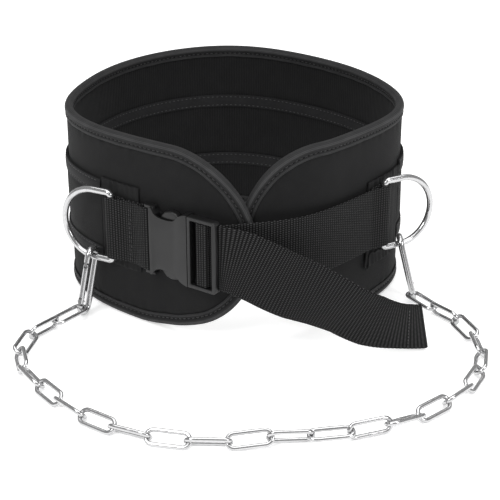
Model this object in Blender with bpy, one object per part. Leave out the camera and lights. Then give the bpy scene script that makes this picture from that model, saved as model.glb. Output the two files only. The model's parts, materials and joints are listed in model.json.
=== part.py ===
"""Dip belt: a padded waist belt closed by a side-release buckle, with a chain clipped to its two rings.

Metres, +Z up, the belt's front towards -Y. The belt stands on its lower edge and the chain lies on the
same surface in front of it. Everything is worked out about the belt's own middle, and an empty then
carries the pieces so that the origin is at the middle of the underside of the whole box.

Two words are used all through: a turn is an angle in degrees about the belt's middle, from +X towards
+Y, and a run is a length along the belt's outer face, from the middle of the back, growing with the turn.
"""
import bmesh
import bpy
import numpy as np
from mathutils import Matrix

# Clearance between pieces that touch on the real belt
GAP = 0.0003
# How far a guide solid reaches past the face it cuts or joins
PAST = 0.001
# Small bevel of moulded edges, the angle above which an edge is bevelled, and above which it is drawn sharp
EDGE_BEVEL = 0.0005
BEVEL_ANGLE = 50.0
SHARP_ANGLE = 35.0

# Waist panel of padded neoprene
BELT_HALF_WIDTH = 0.135
BELT_HEIGHT = 0.150
BACK_RISE = 0.004
PANEL_THICK = 0.0044
END_LENGTH = 0.070
LEFT_LIFT = 0.0072
RIGHT_LIFT = 0.0130
LIFT_START = 0.105
LIFT_FULL = 0.045
LEFT_TIP_TURN = 278.2
RIGHT_TIP_TURN = -89.4
LAP_START_TURN = -48.0
LAP_FULL_TURN = -80.0
LAP_CLEAR = 0.0006
COLUMN_STEP = 0.0120
END_COLUMNS = 11

# The belt from above: radius of its outer face at 16 even turns, as shares of its half width
PLAN_SHARES = np.array([
    0.993, 1.017, 1.047, 1.115, 1.215, 1.190, 1.106, 1.031,
    0.996, 0.914, 0.844, 0.859, 0.941, 0.922, 0.870, 0.907])

# Folded tape round the panel's edge
TAPE_THICK = 0.0007
TAPE_CLEAR = 0.00045
TAPE_WIDTH = 0.010

# Back sleeve, its bound strips and the stitched tapes inside
SLEEVE_THICK = 0.0011
SLEEVE_HALF_HEIGHT = 0.0335
STRIP_THICK = 0.0008
STRIP_WIDTH = 0.0112

# Patches behind the rings: turn of their front and back edges, lower and upper edge from the middle
PATCH_THICK = 0.0016
LEFT_PATCH_TURNS = (212.0, 231.7)
RIGHT_PATCH_TURNS = (-31.4, -8.0)
LEFT_PATCH_SPAN = (-0.033, 0.036)
RIGHT_PATCH_SPAN = (-0.042, 0.030)

# Webbing
WEB_WIDTH = 0.050
WEB_THICK = 0.0016
WEB_SIDE_GAP = 0.0004
FOLD_EASE = 0.017
FOLD_STEPS = 6
# Turn where the right strap comes back onto the belt, its bend towards the buckle and round the ladder's bar
LANDING_TURN = -66.0
LADDER_BEND = 0.0085
THREAD_BEND = 0.0013

# D-rings: turn of the bar, direction in which the ring points, and its wire
RING_WIRE = 0.0050
RING_DEPTH = 0.0435
RING_CORNER = 0.0029
LEFT_RING_TURN = 219.4
RIGHT_RING_TURN = -23.5
LEFT_RING_HEADING = 151.0
RIGHT_RING_HEADING = 28.0

# Side-release buckle, along the strap: u from the socket's face end, depth from its outer face
BUCKLE_FROM_TURN = 239.5
BUCKLE_TO_TURN = 265.7
BUCKLE_FROM_OUT = 0.0093
BUCKLE_TO_OUT = 0.0163
BUCKLE_THICK = 0.0088
BUCKLE_RAIL = 0.0030
BUCKLE_WALL = 0.0016
SOCKET_LENGTH = 0.0355
SOCKET_POCKET_START = 0.0055
STRAP_BAR_RADIUS = 0.0019
HORN_THICK = 0.0021
HORN_WALL = 0.0006
HORN_REACH = 0.0035
PLUG_CLEAR = 0.0004
PLUG_BASE = 0.0026
SLOT_WIDTH = 0.0062
CENTRE_BAR_WIDTH = 0.0075
CENTRE_BAR_THICK = 0.0026
CENTRE_BAR_DEPTH = 0.0024
END_BAR_WIDTH = 0.0037
END_BAR_THICK = 0.0038
RAIL_DEPTH = 0.0064
LADDER_CORNER = 0.0022

# Socket outline: share of the socket's length, and of the buckle's half height
SOCKET_OUTLINE = (
    (0.00, 0.950), (0.05, 0.945), (0.10, 0.835), (0.21, 0.745), (0.40, 0.715), (0.57, 0.730),
    (0.70, 0.780), (0.78, 0.900), (0.87, 0.975), (1.00, 1.000))

# Plug outline inside the socket: outer and inner edge of a spring arm, then the middle tongue
ARM_OUTLINE = (
    (1.02, 0.885), (0.79, 0.885), (0.74, 0.850), (0.68, 0.930), (0.55, 0.955), (0.40, 0.915), (0.31, 0.790),
    (0.29, 0.710), (0.37, 0.660), (0.66, 0.700), (0.93, 0.640), (0.99, 0.520), (0.99, 0.140), (0.40, 0.110),
    (0.34, 0.060))

# Free end of the strap: share of its length, heading towards the front, fall, and lean of its upper edge
TAIL_LENGTH = 0.162
TAIL_ROWS = (
    (0.000, 33.0, 0.0, 0.0), (0.050, 4.0, 12.0, -2.0), (0.125, 7.0, 22.0, -4.0), (0.250, 5.0, 27.0, -5.0),
    (0.375, -0.5, 22.0, -2.0), (0.500, 0.0, 25.0, 9.0), (0.625, 2.5, 28.0, 16.0), (0.750, 0.0, 20.0, 15.0),
    (0.875, 2.0, 4.0, 22.0), (1.000, 12.0, -8.0, 25.0))
TAIL_STEPS = 26

# Snap hooks
HOOK_WIRE = 0.0050
HOOK_LENGTH = 0.0570
HOOK_WIDTH = 0.0180
HOOK_NOSE_DROP = 0.0045
GATE_RADIUS = 0.0023
GATE_PIN_RISE = 0.0035
GATE_END = 0.0026
TANG_THICK = 0.0020
TANG_WIDTH = 0.0038
PIN_RADIUS = 0.0009
NOSE_TANG = 0.0035
GATE_TIP_GAP = 0.0009
GATE_MOUTH = 0.0034
LEFT_HOOK_ALONG_RING = 0.0195
RIGHT_HOOK_ALONG_RING = 0.0175
LEFT_HOOK_HEADING = 234.0
RIGHT_HOOK_HEADING = -35.0
LEFT_HOOK_TWIST = -6.0
RIGHT_HOOK_TWIST = 32.0
LINK_SEAT_TURN = 22.0

# Chain
LINK_COUNT = 24
LINK_WIRE = 0.0032
LINK_WIDTH = 0.0130
LINK_PLAY = 0.0007
LINK_SIDES = 6
LINK_BEND_STEPS = 5

# Where the chain lies, from the left hook to the right one; the hooks give its two ends
CHAIN_ROUTE = (
    (-0.1493, -0.1191), (-0.1565, -0.1600), (-0.1380, -0.1953), (-0.1047, -0.2365), (-0.0585, -0.2659),
    (-0.0056, -0.2744), (0.0476, -0.2682), (0.0985, -0.2577), (0.1441, -0.2261), (0.1752, -0.1838),
    (0.1817, -0.1306), (0.1660, -0.0920))
# How each link lies over, in degrees about its own length
LINK_LEANS = (
    -4, 72, -28, 56, -40, 46, -45, 45, -45, 45, -45, 45,
    -63, 9, 81, -27, 45, -45, 47, -42, 50, -34, 72, -2)

UP = np.array([0.0, 0.0, 1.0])
MIDDLE = BELT_HEIGHT / 2


def curve_slopes(values, closed):
    """Slopes that make a cubic curve through even stations bend without a break."""
    count = len(values)
    system = 4 * np.eye(count) + np.eye(count, k=1) + np.eye(count, k=-1)
    after = np.minimum(np.arange(count) + 1, count - 1)
    before = np.maximum(np.arange(count) - 1, 0)
    if closed:
        system[0, -1] = 1
        system[-1, 0] = 1
        after[-1] = 0
        before[0] = count - 1
    else:
        system[0, 0] = 2
        system[-1, -1] = 2
    return np.linalg.solve(system, 3 * (values[after] - values[before]))


def curve_at(values, slopes, where):
    """Point of the cubic curve at station number where; stations past the last start again."""
    where = np.asarray(where, dtype=float)
    low = np.floor(where).astype(int)
    share = where - low
    if values.ndim > 1:
        share = share[:, None]
    start = low % len(values)
    end = (low + 1) % len(values)
    return (values[start] * (1 + 2 * share) * (1 - share) ** 2 + slopes[start] * share * (1 - share) ** 2
            + values[end] * (3 - 2 * share) * share ** 2 - slopes[end] * (1 - share) * share ** 2)


PLAN_SLOPES = curve_slopes(PLAN_SHARES, True)


def face_point(turn):
    """Point of the outer face, seen from above, at a turn in degrees."""
    turn = np.asarray(turn, dtype=float)
    radius = BELT_HALF_WIDTH * curve_at(PLAN_SHARES, PLAN_SLOPES, turn / 360 * len(PLAN_SHARES))
    angle = np.radians(turn)
    return np.stack([radius * np.cos(angle), radius * np.sin(angle)], axis=-1)


TURNS = np.arange(-180.0, 460.0, 0.5)
STEPS = np.linalg.norm(np.diff(face_point(TURNS), axis=0), axis=1)
RUNS = np.concatenate([[0.0], np.cumsum(STEPS)])
RUNS = RUNS - np.interp(90.0, TURNS, RUNS)


def run_at(turn):
    return np.interp(turn, TURNS, RUNS)


def on_belt(run, out, height):
    """Place at a run, a distance out from the outer face, and a height."""
    turn = np.interp(run, RUNS, TURNS)
    along = face_point(turn + 0.5) - face_point(turn - 0.5)
    along = along / np.linalg.norm(along, axis=-1, keepdims=True)
    outward = np.stack([along[..., 1], -along[..., 0]], axis=-1)
    flat = face_point(turn) + np.asarray(out)[..., None] * outward
    height = np.broadcast_to(height, flat.shape[:-1])
    return np.concatenate([flat, height[..., None]], axis=-1)


LEFT_TIP = run_at(LEFT_TIP_TURN)
RIGHT_TIP = run_at(RIGHT_TIP_TURN)
BELT_OUTER = TAPE_CLEAR + TAPE_THICK
BELT_BUILD = PANEL_THICK + 2 * BELT_OUTER
LAP_DIP = BELT_BUILD + LAP_CLEAR


def ease(share):
    share = np.clip(share, 0.0, 1.0)
    return share * share * (3 - 2 * share)


def lap_dip(run):
    """How far the right end is set in, so that it passes behind the left end."""
    return LAP_DIP * ease((run_at(LAP_START_TURN) - run) / (run_at(LAP_START_TURN) - run_at(LAP_FULL_TURN)))


def top_height(run):
    """Height of the upper edge, which rises a little at the back."""
    return BELT_HEIGHT + BACK_RISE * ease(1 - np.abs(run) / run_at(200.0))


def end_lift(run):
    """How far the lower edge is drawn up towards each end of the belt."""
    left = ease((LIFT_START - LEFT_TIP + run) / (LIFT_START - LIFT_FULL))
    right = ease((LIFT_START - run + RIGHT_TIP) / (LIFT_START - LIFT_FULL))
    return LEFT_LIFT * left + RIGHT_LIFT * right


def stations(start, end):
    """Runs of the columns between two ends, on one common spacing, with the ends themselves."""
    first = int(np.ceil((start + 0.25 * COLUMN_STEP) / COLUMN_STEP))
    last = int(np.floor((end - 0.25 * COLUMN_STEP) / COLUMN_STEP))
    return np.concatenate([[start], np.arange(first, last + 1) * COLUMN_STEP, [end]])


def belt_outline(inset):
    """Lower and upper edge of the belt with its half-elliptic ends, moved in by an inset."""
    sweep = np.radians(np.linspace(90, 0, END_COLUMNS + 1))
    reach = (END_LENGTH - inset) * np.sin(sweep)
    half = (BELT_HEIGHT / 2 - inset) * np.cos(sweep)
    middle = stations(RIGHT_TIP + END_LENGTH, LEFT_TIP - END_LENGTH)[1:-1]
    runs = np.concatenate([RIGHT_TIP + END_LENGTH - reach, middle, (LEFT_TIP - END_LENGTH + reach)[::-1]])
    flat = np.full(len(middle), BELT_HEIGHT / 2 - inset)
    halves = np.concatenate([half, flat, half[::-1]])
    share = halves / (BELT_HEIGHT / 2 - inset)
    rise = (top_height(runs) - BELT_HEIGHT) * share
    return runs, MIDDLE - halves + end_lift(runs) * share, MIDDLE + halves + rise


# Materials

def material(name, colour, roughness, metallic=0.0):
    made = bpy.data.materials.new(name)
    made.use_nodes = True
    shader = made.node_tree.nodes["Principled BSDF"]
    shader.inputs["Base Color"].default_value = (*colour, 1.0)
    shader.inputs["Roughness"].default_value = roughness
    shader.inputs["Metallic"].default_value = metallic
    return made


# Solids

def add_piece(name, points, faces, finish, matrix=None):
    """One named object from points and faces, closed, with its faces pointing out."""
    mesh = bpy.data.meshes.new(name)
    mesh.from_pydata([tuple(point) for point in np.asarray(points, dtype=float)], [], faces)
    shape = bmesh.new()
    shape.from_mesh(mesh)
    bmesh.ops.remove_doubles(shape, verts=shape.verts, dist=0.00001)
    bmesh.ops.recalc_face_normals(shape, faces=shape.faces)
    shape.to_mesh(mesh)
    shape.free()
    mesh.shade_smooth()
    mesh.set_sharp_from_angle(angle=np.radians(SHARP_ANGLE))
    mesh.materials.append(finish)
    return place_mesh(name, mesh, matrix)


def place_mesh(name, mesh, matrix=None):
    piece = bpy.data.objects.new(name, mesh)
    bpy.context.scene.collection.objects.link(piece)
    piece.parent = STAND
    if matrix is not None:
        piece.matrix_local = matrix
    return piece


def wall(name, outer, inner, finish):
    """Solid between two grids of points that share their rows and columns."""
    rows, columns = outer.shape[:2]
    count = rows * columns
    index = np.arange(count).reshape(rows, columns)
    quads = np.stack([index[:-1, :-1], index[1:, :-1], index[1:, 1:], index[:-1, 1:]], axis=-1).reshape(-1, 4)
    border = np.concatenate([index[:-1, 0], index[-1, :-1], index[:0:-1, -1], index[0, :0:-1]])
    following = np.roll(border, -1)
    rim = np.stack([border, following, following + count, border + count], axis=-1)
    faces = np.concatenate([quads, quads[:, ::-1] + count, rim]).tolist()
    return add_piece(name, np.concatenate([outer.reshape(-1, 3), inner.reshape(-1, 3)]), faces, finish)


def skin(sections, count, closed):
    """Faces over a row of sections of count points; an open row also gets its two end faces."""
    index = np.arange(sections * count).reshape(sections, count)
    ends = [] if closed else [index[0].tolist(), index[-1].tolist()]
    if closed:
        index = np.concatenate([index, index[:1]])
    right = np.roll(index, -1, axis=1)
    quads = np.stack([index[:-1], right[:-1], right[1:], index[1:]], axis=-1).reshape(-1, 4).tolist()
    return quads + ends


def sweep(name, path, across, profile, closed, finish, matrix=None):
    """Solid with one section along a path: each section lies across the path, square to it."""
    path = np.asarray(path, dtype=float)
    across = np.broadcast_to(across, path.shape)
    if closed:
        ahead = np.roll(path, -1, axis=0) - path
    else:
        ahead = np.diff(path, axis=0)
        ahead = np.concatenate([ahead, ahead[-1:]])
    ahead = ahead / np.linalg.norm(ahead, axis=1, keepdims=True)
    behind = np.roll(ahead, 1, axis=0)
    if not closed:
        behind[0] = ahead[0]
    along = ahead + behind
    along = along / np.linalg.norm(along, axis=1, keepdims=True)
    side = np.cross(along, across)
    side = side / np.linalg.norm(side, axis=1, keepdims=True)
    spread = 1 / np.maximum(np.sum(along * ahead, axis=1, keepdims=True), 0.6)
    profile = np.asarray(profile, dtype=float)
    points = (path[:, None] + profile[None, :, :1] * (side * spread)[:, None]
              + profile[None, :, 1:] * across[:, None])
    faces = skin(len(path), len(profile), closed)
    return add_piece(name, points.reshape(-1, 3), faces, finish, matrix)


def circle(radius, sides):
    angle = (np.arange(sides) + 0.5) / sides * 2 * np.pi
    return np.stack([radius * np.cos(angle), radius * np.sin(angle)], axis=-1)


def arc(centre, radius, start, end, steps):
    """Points of an arc in a plane, angles in degrees."""
    angle = np.radians(np.linspace(start, end, steps + 1))
    return np.asarray(centre) + radius * np.stack([np.cos(angle), np.sin(angle)], axis=-1)


def prism(name, outline, low, high, axis, finish, matrix=None):
    """Outline in two axes carried along the third: axis 1 takes (x, z) points, axis 2 takes (x, y)."""
    outline = np.asarray(outline, dtype=float)
    points = np.zeros((2, len(outline), 3))
    points[:, :, 0] = outline[:, 0]
    points[:, :, 3 - axis] = outline[:, 1]
    points[0, :, axis] = low
    points[1, :, axis] = high
    count = len(outline)
    sides = [[i, (i + 1) % count, (i + 1) % count + count, i + count] for i in range(count)]
    faces = [list(range(count)), list(range(count, 2 * count))] + sides
    return add_piece(name, points.reshape(-1, 3), faces, finish, matrix)


def rectangle(left, right, low, high):
    return ((left, low), (right, low), (right, high), (left, high))


def combine(target, tool, operation):
    """Join a guide solid to a piece, or cut it out of the piece."""
    tool.hide_render = True
    tool.display_type = "WIRE"
    step = target.modifiers.new(tool.name, "BOOLEAN")
    step.operation = operation
    step.solver = "EXACT"
    step.object = tool


def frame_matrix(x_axis, y_axis, origin):
    """Matrix from two square axes and an origin."""
    z_axis = np.cross(x_axis, y_axis)
    matrix = np.eye(4)
    matrix[:3, 0] = x_axis
    matrix[:3, 1] = y_axis
    matrix[:3, 2] = z_axis
    matrix[:3, 3] = origin
    return Matrix(matrix.tolist())


def heading_vector(heading):
    return np.array([np.cos(np.radians(heading)), np.sin(np.radians(heading)), 0.0])


# Start from an empty scene

for old in list(bpy.data.objects):
    bpy.data.objects.remove(old, do_unlink=True)
STAND = bpy.data.objects.new("stand", None)
bpy.context.scene.collection.objects.link(STAND)

NEOPRENE = material("neoprene", (0.016, 0.016, 0.017), 0.85)
TAPE = material("edge_tape", (0.030, 0.030, 0.031), 0.75)
SLEEVE_CLOTH = material("sleeve_cloth", (0.018, 0.018, 0.019), 0.85)
WEBBING = material("webbing", (0.014, 0.014, 0.015), 0.70)
PLASTIC = material("buckle_plastic", (0.060, 0.060, 0.062), 0.55)
STEEL = material("plated_steel", (0.78, 0.78, 0.80), 0.16, 1.0)


# Waist belt: panel, edge tape, back sleeve, its strips, the tapes inside and the patches

def make_panel():
    runs, low, high = belt_outline(BELT_OUTER)
    heights = np.stack([low, high], axis=1)
    run_grid = np.repeat(runs[:, None], 2, axis=1)
    outer = on_belt(run_grid, -lap_dip(run_grid), heights)
    inner = on_belt(run_grid, -lap_dip(run_grid) - PANEL_THICK, heights)
    wall("belt_panel", outer, inner, NEOPRENE)


def make_edge_binding():
    """Folded tape: a U section carried once round the belt's outline, every point of it on the belt's curve."""
    runs, low, high = belt_outline(0.0)
    loop = np.stack([np.concatenate([runs, runs[-2:0:-1]]), np.concatenate([low, high[-2:0:-1]])], axis=1)
    ahead = np.roll(loop, -1, axis=0) - loop
    ahead = ahead / np.linalg.norm(ahead, axis=1, keepdims=True)
    along = ahead + np.roll(ahead, 1, axis=0)
    along = along / np.linalg.norm(along, axis=1, keepdims=True)
    inward = np.stack([-along[:, 1], along[:, 0]], axis=1) / np.sum(along * ahead, axis=1, keepdims=True)
    half = BELT_BUILD / 2
    inner_half = half - TAPE_THICK
    profile = np.array([
        (0.0, -half), (0.0, half), (TAPE_WIDTH, half), (TAPE_WIDTH, inner_half),
        (TAPE_THICK, inner_half), (TAPE_THICK, -inner_half), (TAPE_WIDTH, -inner_half), (TAPE_WIDTH, -half)])
    places = loop[:, None] + profile[None, :, :1] * inward[:, None]
    out = profile[None, :, 1] - PANEL_THICK / 2 - lap_dip(places[..., 0])
    points = on_belt(places[..., 0], out, places[..., 1])
    add_piece("edge_binding", points.reshape(-1, 3), skin(len(loop), len(profile), True), TAPE)


def belt_band(name, turns, span, inside, thick, finish):
    """Flat piece on the belt between two turns, its lower and upper edge measured from the middle."""
    runs = stations(run_at(turns[0]), run_at(turns[1]))
    run_grid = np.repeat(runs[:, None], 2, axis=1)
    heights = np.broadcast_to(MIDDLE + np.array(span), run_grid.shape)
    inner = on_belt(run_grid, inside, heights)
    outer = on_belt(run_grid, inside + thick, heights)
    wall(name, outer, inner, finish)


def make_belt_layers():
    seam = np.degrees(GAP / BELT_HALF_WIDTH)
    sleeve_turns = (RIGHT_PATCH_TURNS[1] + seam, LEFT_PATCH_TURNS[0] - seam)
    belt_band("back_sleeve", sleeve_turns, (-SLEEVE_HALF_HEIGHT, SLEEVE_HALF_HEIGHT), GAP, SLEEVE_THICK,
              SLEEVE_CLOTH)
    for word, side in (("upper", 1), ("lower", -1)):
        span = sorted((side * SLEEVE_HALF_HEIGHT, side * (SLEEVE_HALF_HEIGHT - STRIP_WIDTH)))
        belt_band("sleeve_strip_" + word, sleeve_turns, span, 2 * GAP + SLEEVE_THICK, STRIP_THICK, TAPE)
        belt_band("inner_tape_" + word, sleeve_turns, span, -PANEL_THICK - GAP - STRIP_THICK, STRIP_THICK, TAPE)
    belt_band("patch_left", LEFT_PATCH_TURNS, LEFT_PATCH_SPAN, GAP, PATCH_THICK, SLEEVE_CLOTH)
    belt_band("patch_right", RIGHT_PATCH_TURNS, RIGHT_PATCH_SPAN, GAP, PATCH_THICK, SLEEVE_CLOTH)


# Rings

INNER_PLY = 2 * GAP + PATCH_THICK + WEB_THICK / 2
OUTER_PLY = INNER_PLY + WEB_THICK + GAP
FOLD_RADIUS = RING_WIRE / 2 + GAP + WEB_THICK / 2
RING_BAR_OUT = INNER_PLY + FOLD_RADIUS
RING_HALF = WEB_WIDTH / 2 + WEB_SIDE_GAP + RING_WIRE / 2
RING_LEG = RING_DEPTH - RING_HALF


def ring_place(turn, heading):
    """Matrix of a ring: x away from its bar, y up, the bar at the origin."""
    bar = on_belt(run_at(turn), RING_BAR_OUT, MIDDLE)
    return frame_matrix(heading_vector(heading), UP, bar)


def make_ring(name, place):
    corner = RING_CORNER
    path = np.concatenate([
        arc((corner, corner - RING_HALF), corner, 180, 270, 3),
        arc((RING_LEG, 0.0), RING_HALF, -90, 90, 14),
        arc((corner, RING_HALF - corner), corner, 90, 180, 3)])
    path = np.concatenate([path, np.zeros((len(path), 1))], axis=1)
    sweep(name, path, (0.0, 0.0, 1.0), circle(RING_WIRE / 2, 8), True, STEEL, place)


# Buckle: x along the strap, y inward from the outer face, z up

SLOT_HALF = WEB_WIDTH / 2 + WEB_SIDE_GAP
BUCKLE_HALF_HEIGHT = SLOT_HALF + BUCKLE_RAIL
STRAP_BAR_U = -(2 * GAP + WEB_THICK + STRAP_BAR_RADIUS)
STRAP_BAR_DEPTH = BUCKLE_THICK / 2
LADDER_START = SOCKET_LENGTH + PLUG_CLEAR
FIRST_SLOT = LADDER_START + PLUG_BASE
CENTRE_BAR = FIRST_SLOT + SLOT_WIDTH
SECOND_SLOT = CENTRE_BAR + CENTRE_BAR_WIDTH
END_BAR = SECOND_SLOT + SLOT_WIDTH
LADDER_END = END_BAR + END_BAR_WIDTH
TAIL_PLY_DEPTH = END_BAR_THICK + GAP + WEB_THICK / 2
STANDING_PLY_DEPTH = TAIL_PLY_DEPTH + WEB_THICK + GAP

BUCKLE_START = on_belt(run_at(BUCKLE_FROM_TURN), BUCKLE_FROM_OUT, MIDDLE)
BUCKLE_ALONG = on_belt(run_at(BUCKLE_TO_TURN), BUCKLE_TO_OUT, MIDDLE) - BUCKLE_START
BUCKLE_ALONG = BUCKLE_ALONG / np.linalg.norm(BUCKLE_ALONG)
BUCKLE_INWARD = np.cross(UP, BUCKLE_ALONG)
BUCKLE_PLACE = frame_matrix(BUCKLE_ALONG, BUCKLE_INWARD, BUCKLE_START)


def in_buckle(points):
    """Places in the model of (along, depth) points of the buckle, at its middle height."""
    points = np.asarray(points, dtype=float)
    return BUCKLE_START + points[:, :1] * BUCKLE_ALONG + points[:, 1:] * BUCKLE_INWARD


def mirrored(outline):
    """Closed outline from its upper half, listed from one end to the other."""
    outline = np.asarray(outline)
    lower = outline[::-1] * (1, -1)
    return np.concatenate([outline, lower])


def make_socket():
    outline = np.array(SOCKET_OUTLINE) * (SOCKET_LENGTH, BUCKLE_HALF_HEIGHT)
    socket = prism("buckle_socket", mirrored(outline), 0.0, BUCKLE_THICK, 1, PLASTIC, BUCKLE_PLACE)
    edge = socket.modifiers.new("soft_edges", "BEVEL")
    edge.width = EDGE_BEVEL
    edge.segments = 1
    edge.limit_method = "ANGLE"
    edge.angle_limit = np.radians(BEVEL_ANGLE)
    pocket = prism(
        "socket_pocket", rectangle(SOCKET_POCKET_START, SOCKET_LENGTH + PAST, BUCKLE_WALL,
                                   BUCKLE_THICK - BUCKLE_WALL),
        -SLOT_HALF - GAP, SLOT_HALF + GAP, 2, PLASTIC, BUCKLE_PLACE)
    combine(socket, pocket, "DIFFERENCE")
    horn_half = STRAP_BAR_RADIUS + HORN_WALL
    for word, side in (("upper", 1), ("lower", -1)):
        horn = prism(
            "socket_horn_" + word, rectangle(STRAP_BAR_U - horn_half, HORN_REACH, STRAP_BAR_DEPTH - horn_half,
                                             STRAP_BAR_DEPTH + horn_half),
            *sorted((side * SLOT_HALF, side * (SLOT_HALF + HORN_THICK))), 2, PLASTIC, BUCKLE_PLACE)
        combine(socket, horn, "UNION")
    bar_outline = circle(STRAP_BAR_RADIUS, 8) + (STRAP_BAR_U, STRAP_BAR_DEPTH)
    reach = SLOT_HALF + HORN_THICK / 2
    combine(socket, prism("socket_bar", bar_outline, -reach, reach, 2, PLASTIC, BUCKLE_PLACE), "UNION")


def make_plug():
    arm_half = BUCKLE_WALL + PLUG_CLEAR
    arms = mirrored(np.array(ARM_OUTLINE) * (SOCKET_LENGTH, BUCKLE_HALF_HEIGHT))
    plug = prism("buckle_plug", arms, arm_half, BUCKLE_THICK - arm_half, 1, PLASTIC, BUCKLE_PLACE)
    half = BUCKLE_HALF_HEIGHT - GAP
    corner = LADDER_CORNER
    upper = [(LADDER_START, half), (LADDER_END - corner, half), (LADDER_END - corner * 0.3, half - corner * 0.3),
             (LADDER_END, half - corner)]
    ladder = prism("plug_ladder", mirrored(upper), 0.0, RAIL_DEPTH, 1, PLASTIC, BUCKLE_PLACE)
    edge = ladder.modifiers.new("soft_edges", "BEVEL")
    edge.width = EDGE_BEVEL
    edge.segments = 1
    edge.limit_method = "ANGLE"
    edge.angle_limit = np.radians(BEVEL_ANGLE)
    above = -PAST
    below = BUCKLE_THICK
    arch = ((FIRST_SLOT, above), (FIRST_SLOT, below), (CENTRE_BAR, below), (CENTRE_BAR, CENTRE_BAR_DEPTH),
            (SECOND_SLOT, CENTRE_BAR_DEPTH), (SECOND_SLOT, below), (LADDER_END + PAST, below),
            (LADDER_END + PAST, END_BAR_THICK), (END_BAR, END_BAR_THICK), (END_BAR, above))
    combine(ladder, prism("ladder_slots", arch, -SLOT_HALF, SLOT_HALF, 2, PLASTIC, BUCKLE_PLACE), "DIFFERENCE")
    under = rectangle(CENTRE_BAR - PAST, SECOND_SLOT + PAST, CENTRE_BAR_DEPTH + CENTRE_BAR_THICK, below)
    combine(ladder, prism("ladder_relief", under, -SLOT_HALF, SLOT_HALF, 2, PLASTIC, BUCKLE_PLACE), "DIFFERENCE")
    combine(plug, ladder, "UNION")


# Straps: flat paths seen from above, and the free end that falls to the surface

def ribbon_section():
    half = WEB_THICK / 2
    return ((-half, -WEB_WIDTH / 2), (half, -WEB_WIDTH / 2), (half, WEB_WIDTH / 2), (-half, WEB_WIDTH / 2))


def belt_path(points):
    """Places of (run, out) points at the middle height."""
    points = np.asarray(points, dtype=float)
    return on_belt(points[:, 0], points[:, 1], MIDDLE)


def joined(start, start_along, end, end_along, steps, pull=1.0):
    """Smooth stretch between two places with given directions, without its two ends."""
    share = np.linspace(0, 1, steps + 2)[1:-1, None]
    reach = np.linalg.norm(end - start) * pull
    return (start * (1 + 2 * share) * (1 - share) ** 2 + start_along * reach * share * (1 - share) ** 2
            + end * (3 - 2 * share) * share ** 2 - end_along * reach * (1 - share) * share ** 2)


def ring_fold(turn, side):
    """Path from the outer ply round a ring's bar to the inner ply; side is where the strap lies."""
    bar = (run_at(turn), RING_BAR_OUT)
    shares = np.linspace(1, 0, 5)[:, None]
    slope = np.concatenate([bar[0] + side * FOLD_EASE * shares,
                            OUTER_PLY + (RING_BAR_OUT + FOLD_RADIUS - OUTER_PLY) * ease(1 - shares)], axis=1)
    fold = arc(bar, FOLD_RADIUS, 90, 90 + side * 180, FOLD_STEPS)
    return np.concatenate([slope[:-1], fold])


def make_strap_left():
    patch_end = run_at(LEFT_PATCH_TURNS[1])
    ring_run = run_at(LEFT_RING_TURN)
    middle_run = (patch_end + ring_run) / 2
    bar = (STRAP_BAR_U, STRAP_BAR_DEPTH)
    bar_fold = in_buckle(arc(bar, STRAP_BAR_RADIUS + GAP + WEB_THICK / 2, 90, -90, FOLD_STEPS))
    fold = belt_path(ring_fold(LEFT_RING_TURN, 1))
    inner_end = belt_path([(middle_run - GAP * 2, INNER_PLY)])
    inner_start = belt_path([(middle_run + GAP * 2, INNER_PLY), (patch_end - PAST, INNER_PLY)])
    outer_patch = belt_path([(patch_end - 3 * PAST, OUTER_PLY)])
    belt_along = inner_start[1] - inner_start[0]
    belt_along = belt_along / np.linalg.norm(belt_along)
    under = joined(inner_start[1], belt_along, bar_fold[0], BUCKLE_ALONG, 3)
    over = joined(bar_fold[-1], -BUCKLE_ALONG, outer_patch[0], -belt_along, 3)
    path = np.concatenate([inner_start, under, bar_fold, over, outer_patch, fold, inner_end])
    sweep("strap_left", path, UP, ribbon_section(), False, WEBBING)


def tail_frames(fall):
    """Middle line and width direction of the free end, with its falls scaled by a factor."""
    shares, headings, falls, leans = np.array(TAIL_ROWS).T
    where = np.linspace(0, 1, TAIL_STEPS + 1)
    heading = np.radians(np.interp(where, shares, headings))
    drop = np.radians(np.interp(where, shares, falls)) * fall
    lean = np.radians(np.interp(where, shares, leans))
    along = np.stack([np.cos(drop) * np.cos(heading), -np.cos(drop) * np.sin(heading), -np.sin(drop)], axis=1)
    steps = (along[1:] + along[:-1]) / 2 * TAIL_LENGTH / TAIL_STEPS
    start = in_buckle([(LADDER_END, TAIL_PLY_DEPTH)])
    middle = start + np.concatenate([np.zeros((1, 3)), np.cumsum(steps, axis=0)])
    upright = UP - along * along[:, 2:]
    upright = upright / np.linalg.norm(upright, axis=1, keepdims=True)
    across = upright * np.cos(lean)[:, None] + np.cross(along, upright) * np.sin(lean)[:, None]
    return middle, across


def resting_tail():
    """The free end with the fall that just lays its lower edge on the surface."""
    low_fall = 0.2
    high_fall = 2.5
    for _ in range(40):
        fall = (low_fall + high_fall) / 2
        middle, across = tail_frames(fall)
        lowest = np.min(middle[:, 2] - across[:, 2] * WEB_WIDTH / 2)
        if lowest > WEB_THICK / 2:
            low_fall = fall
        else:
            high_fall = fall
    return middle, across


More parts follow.
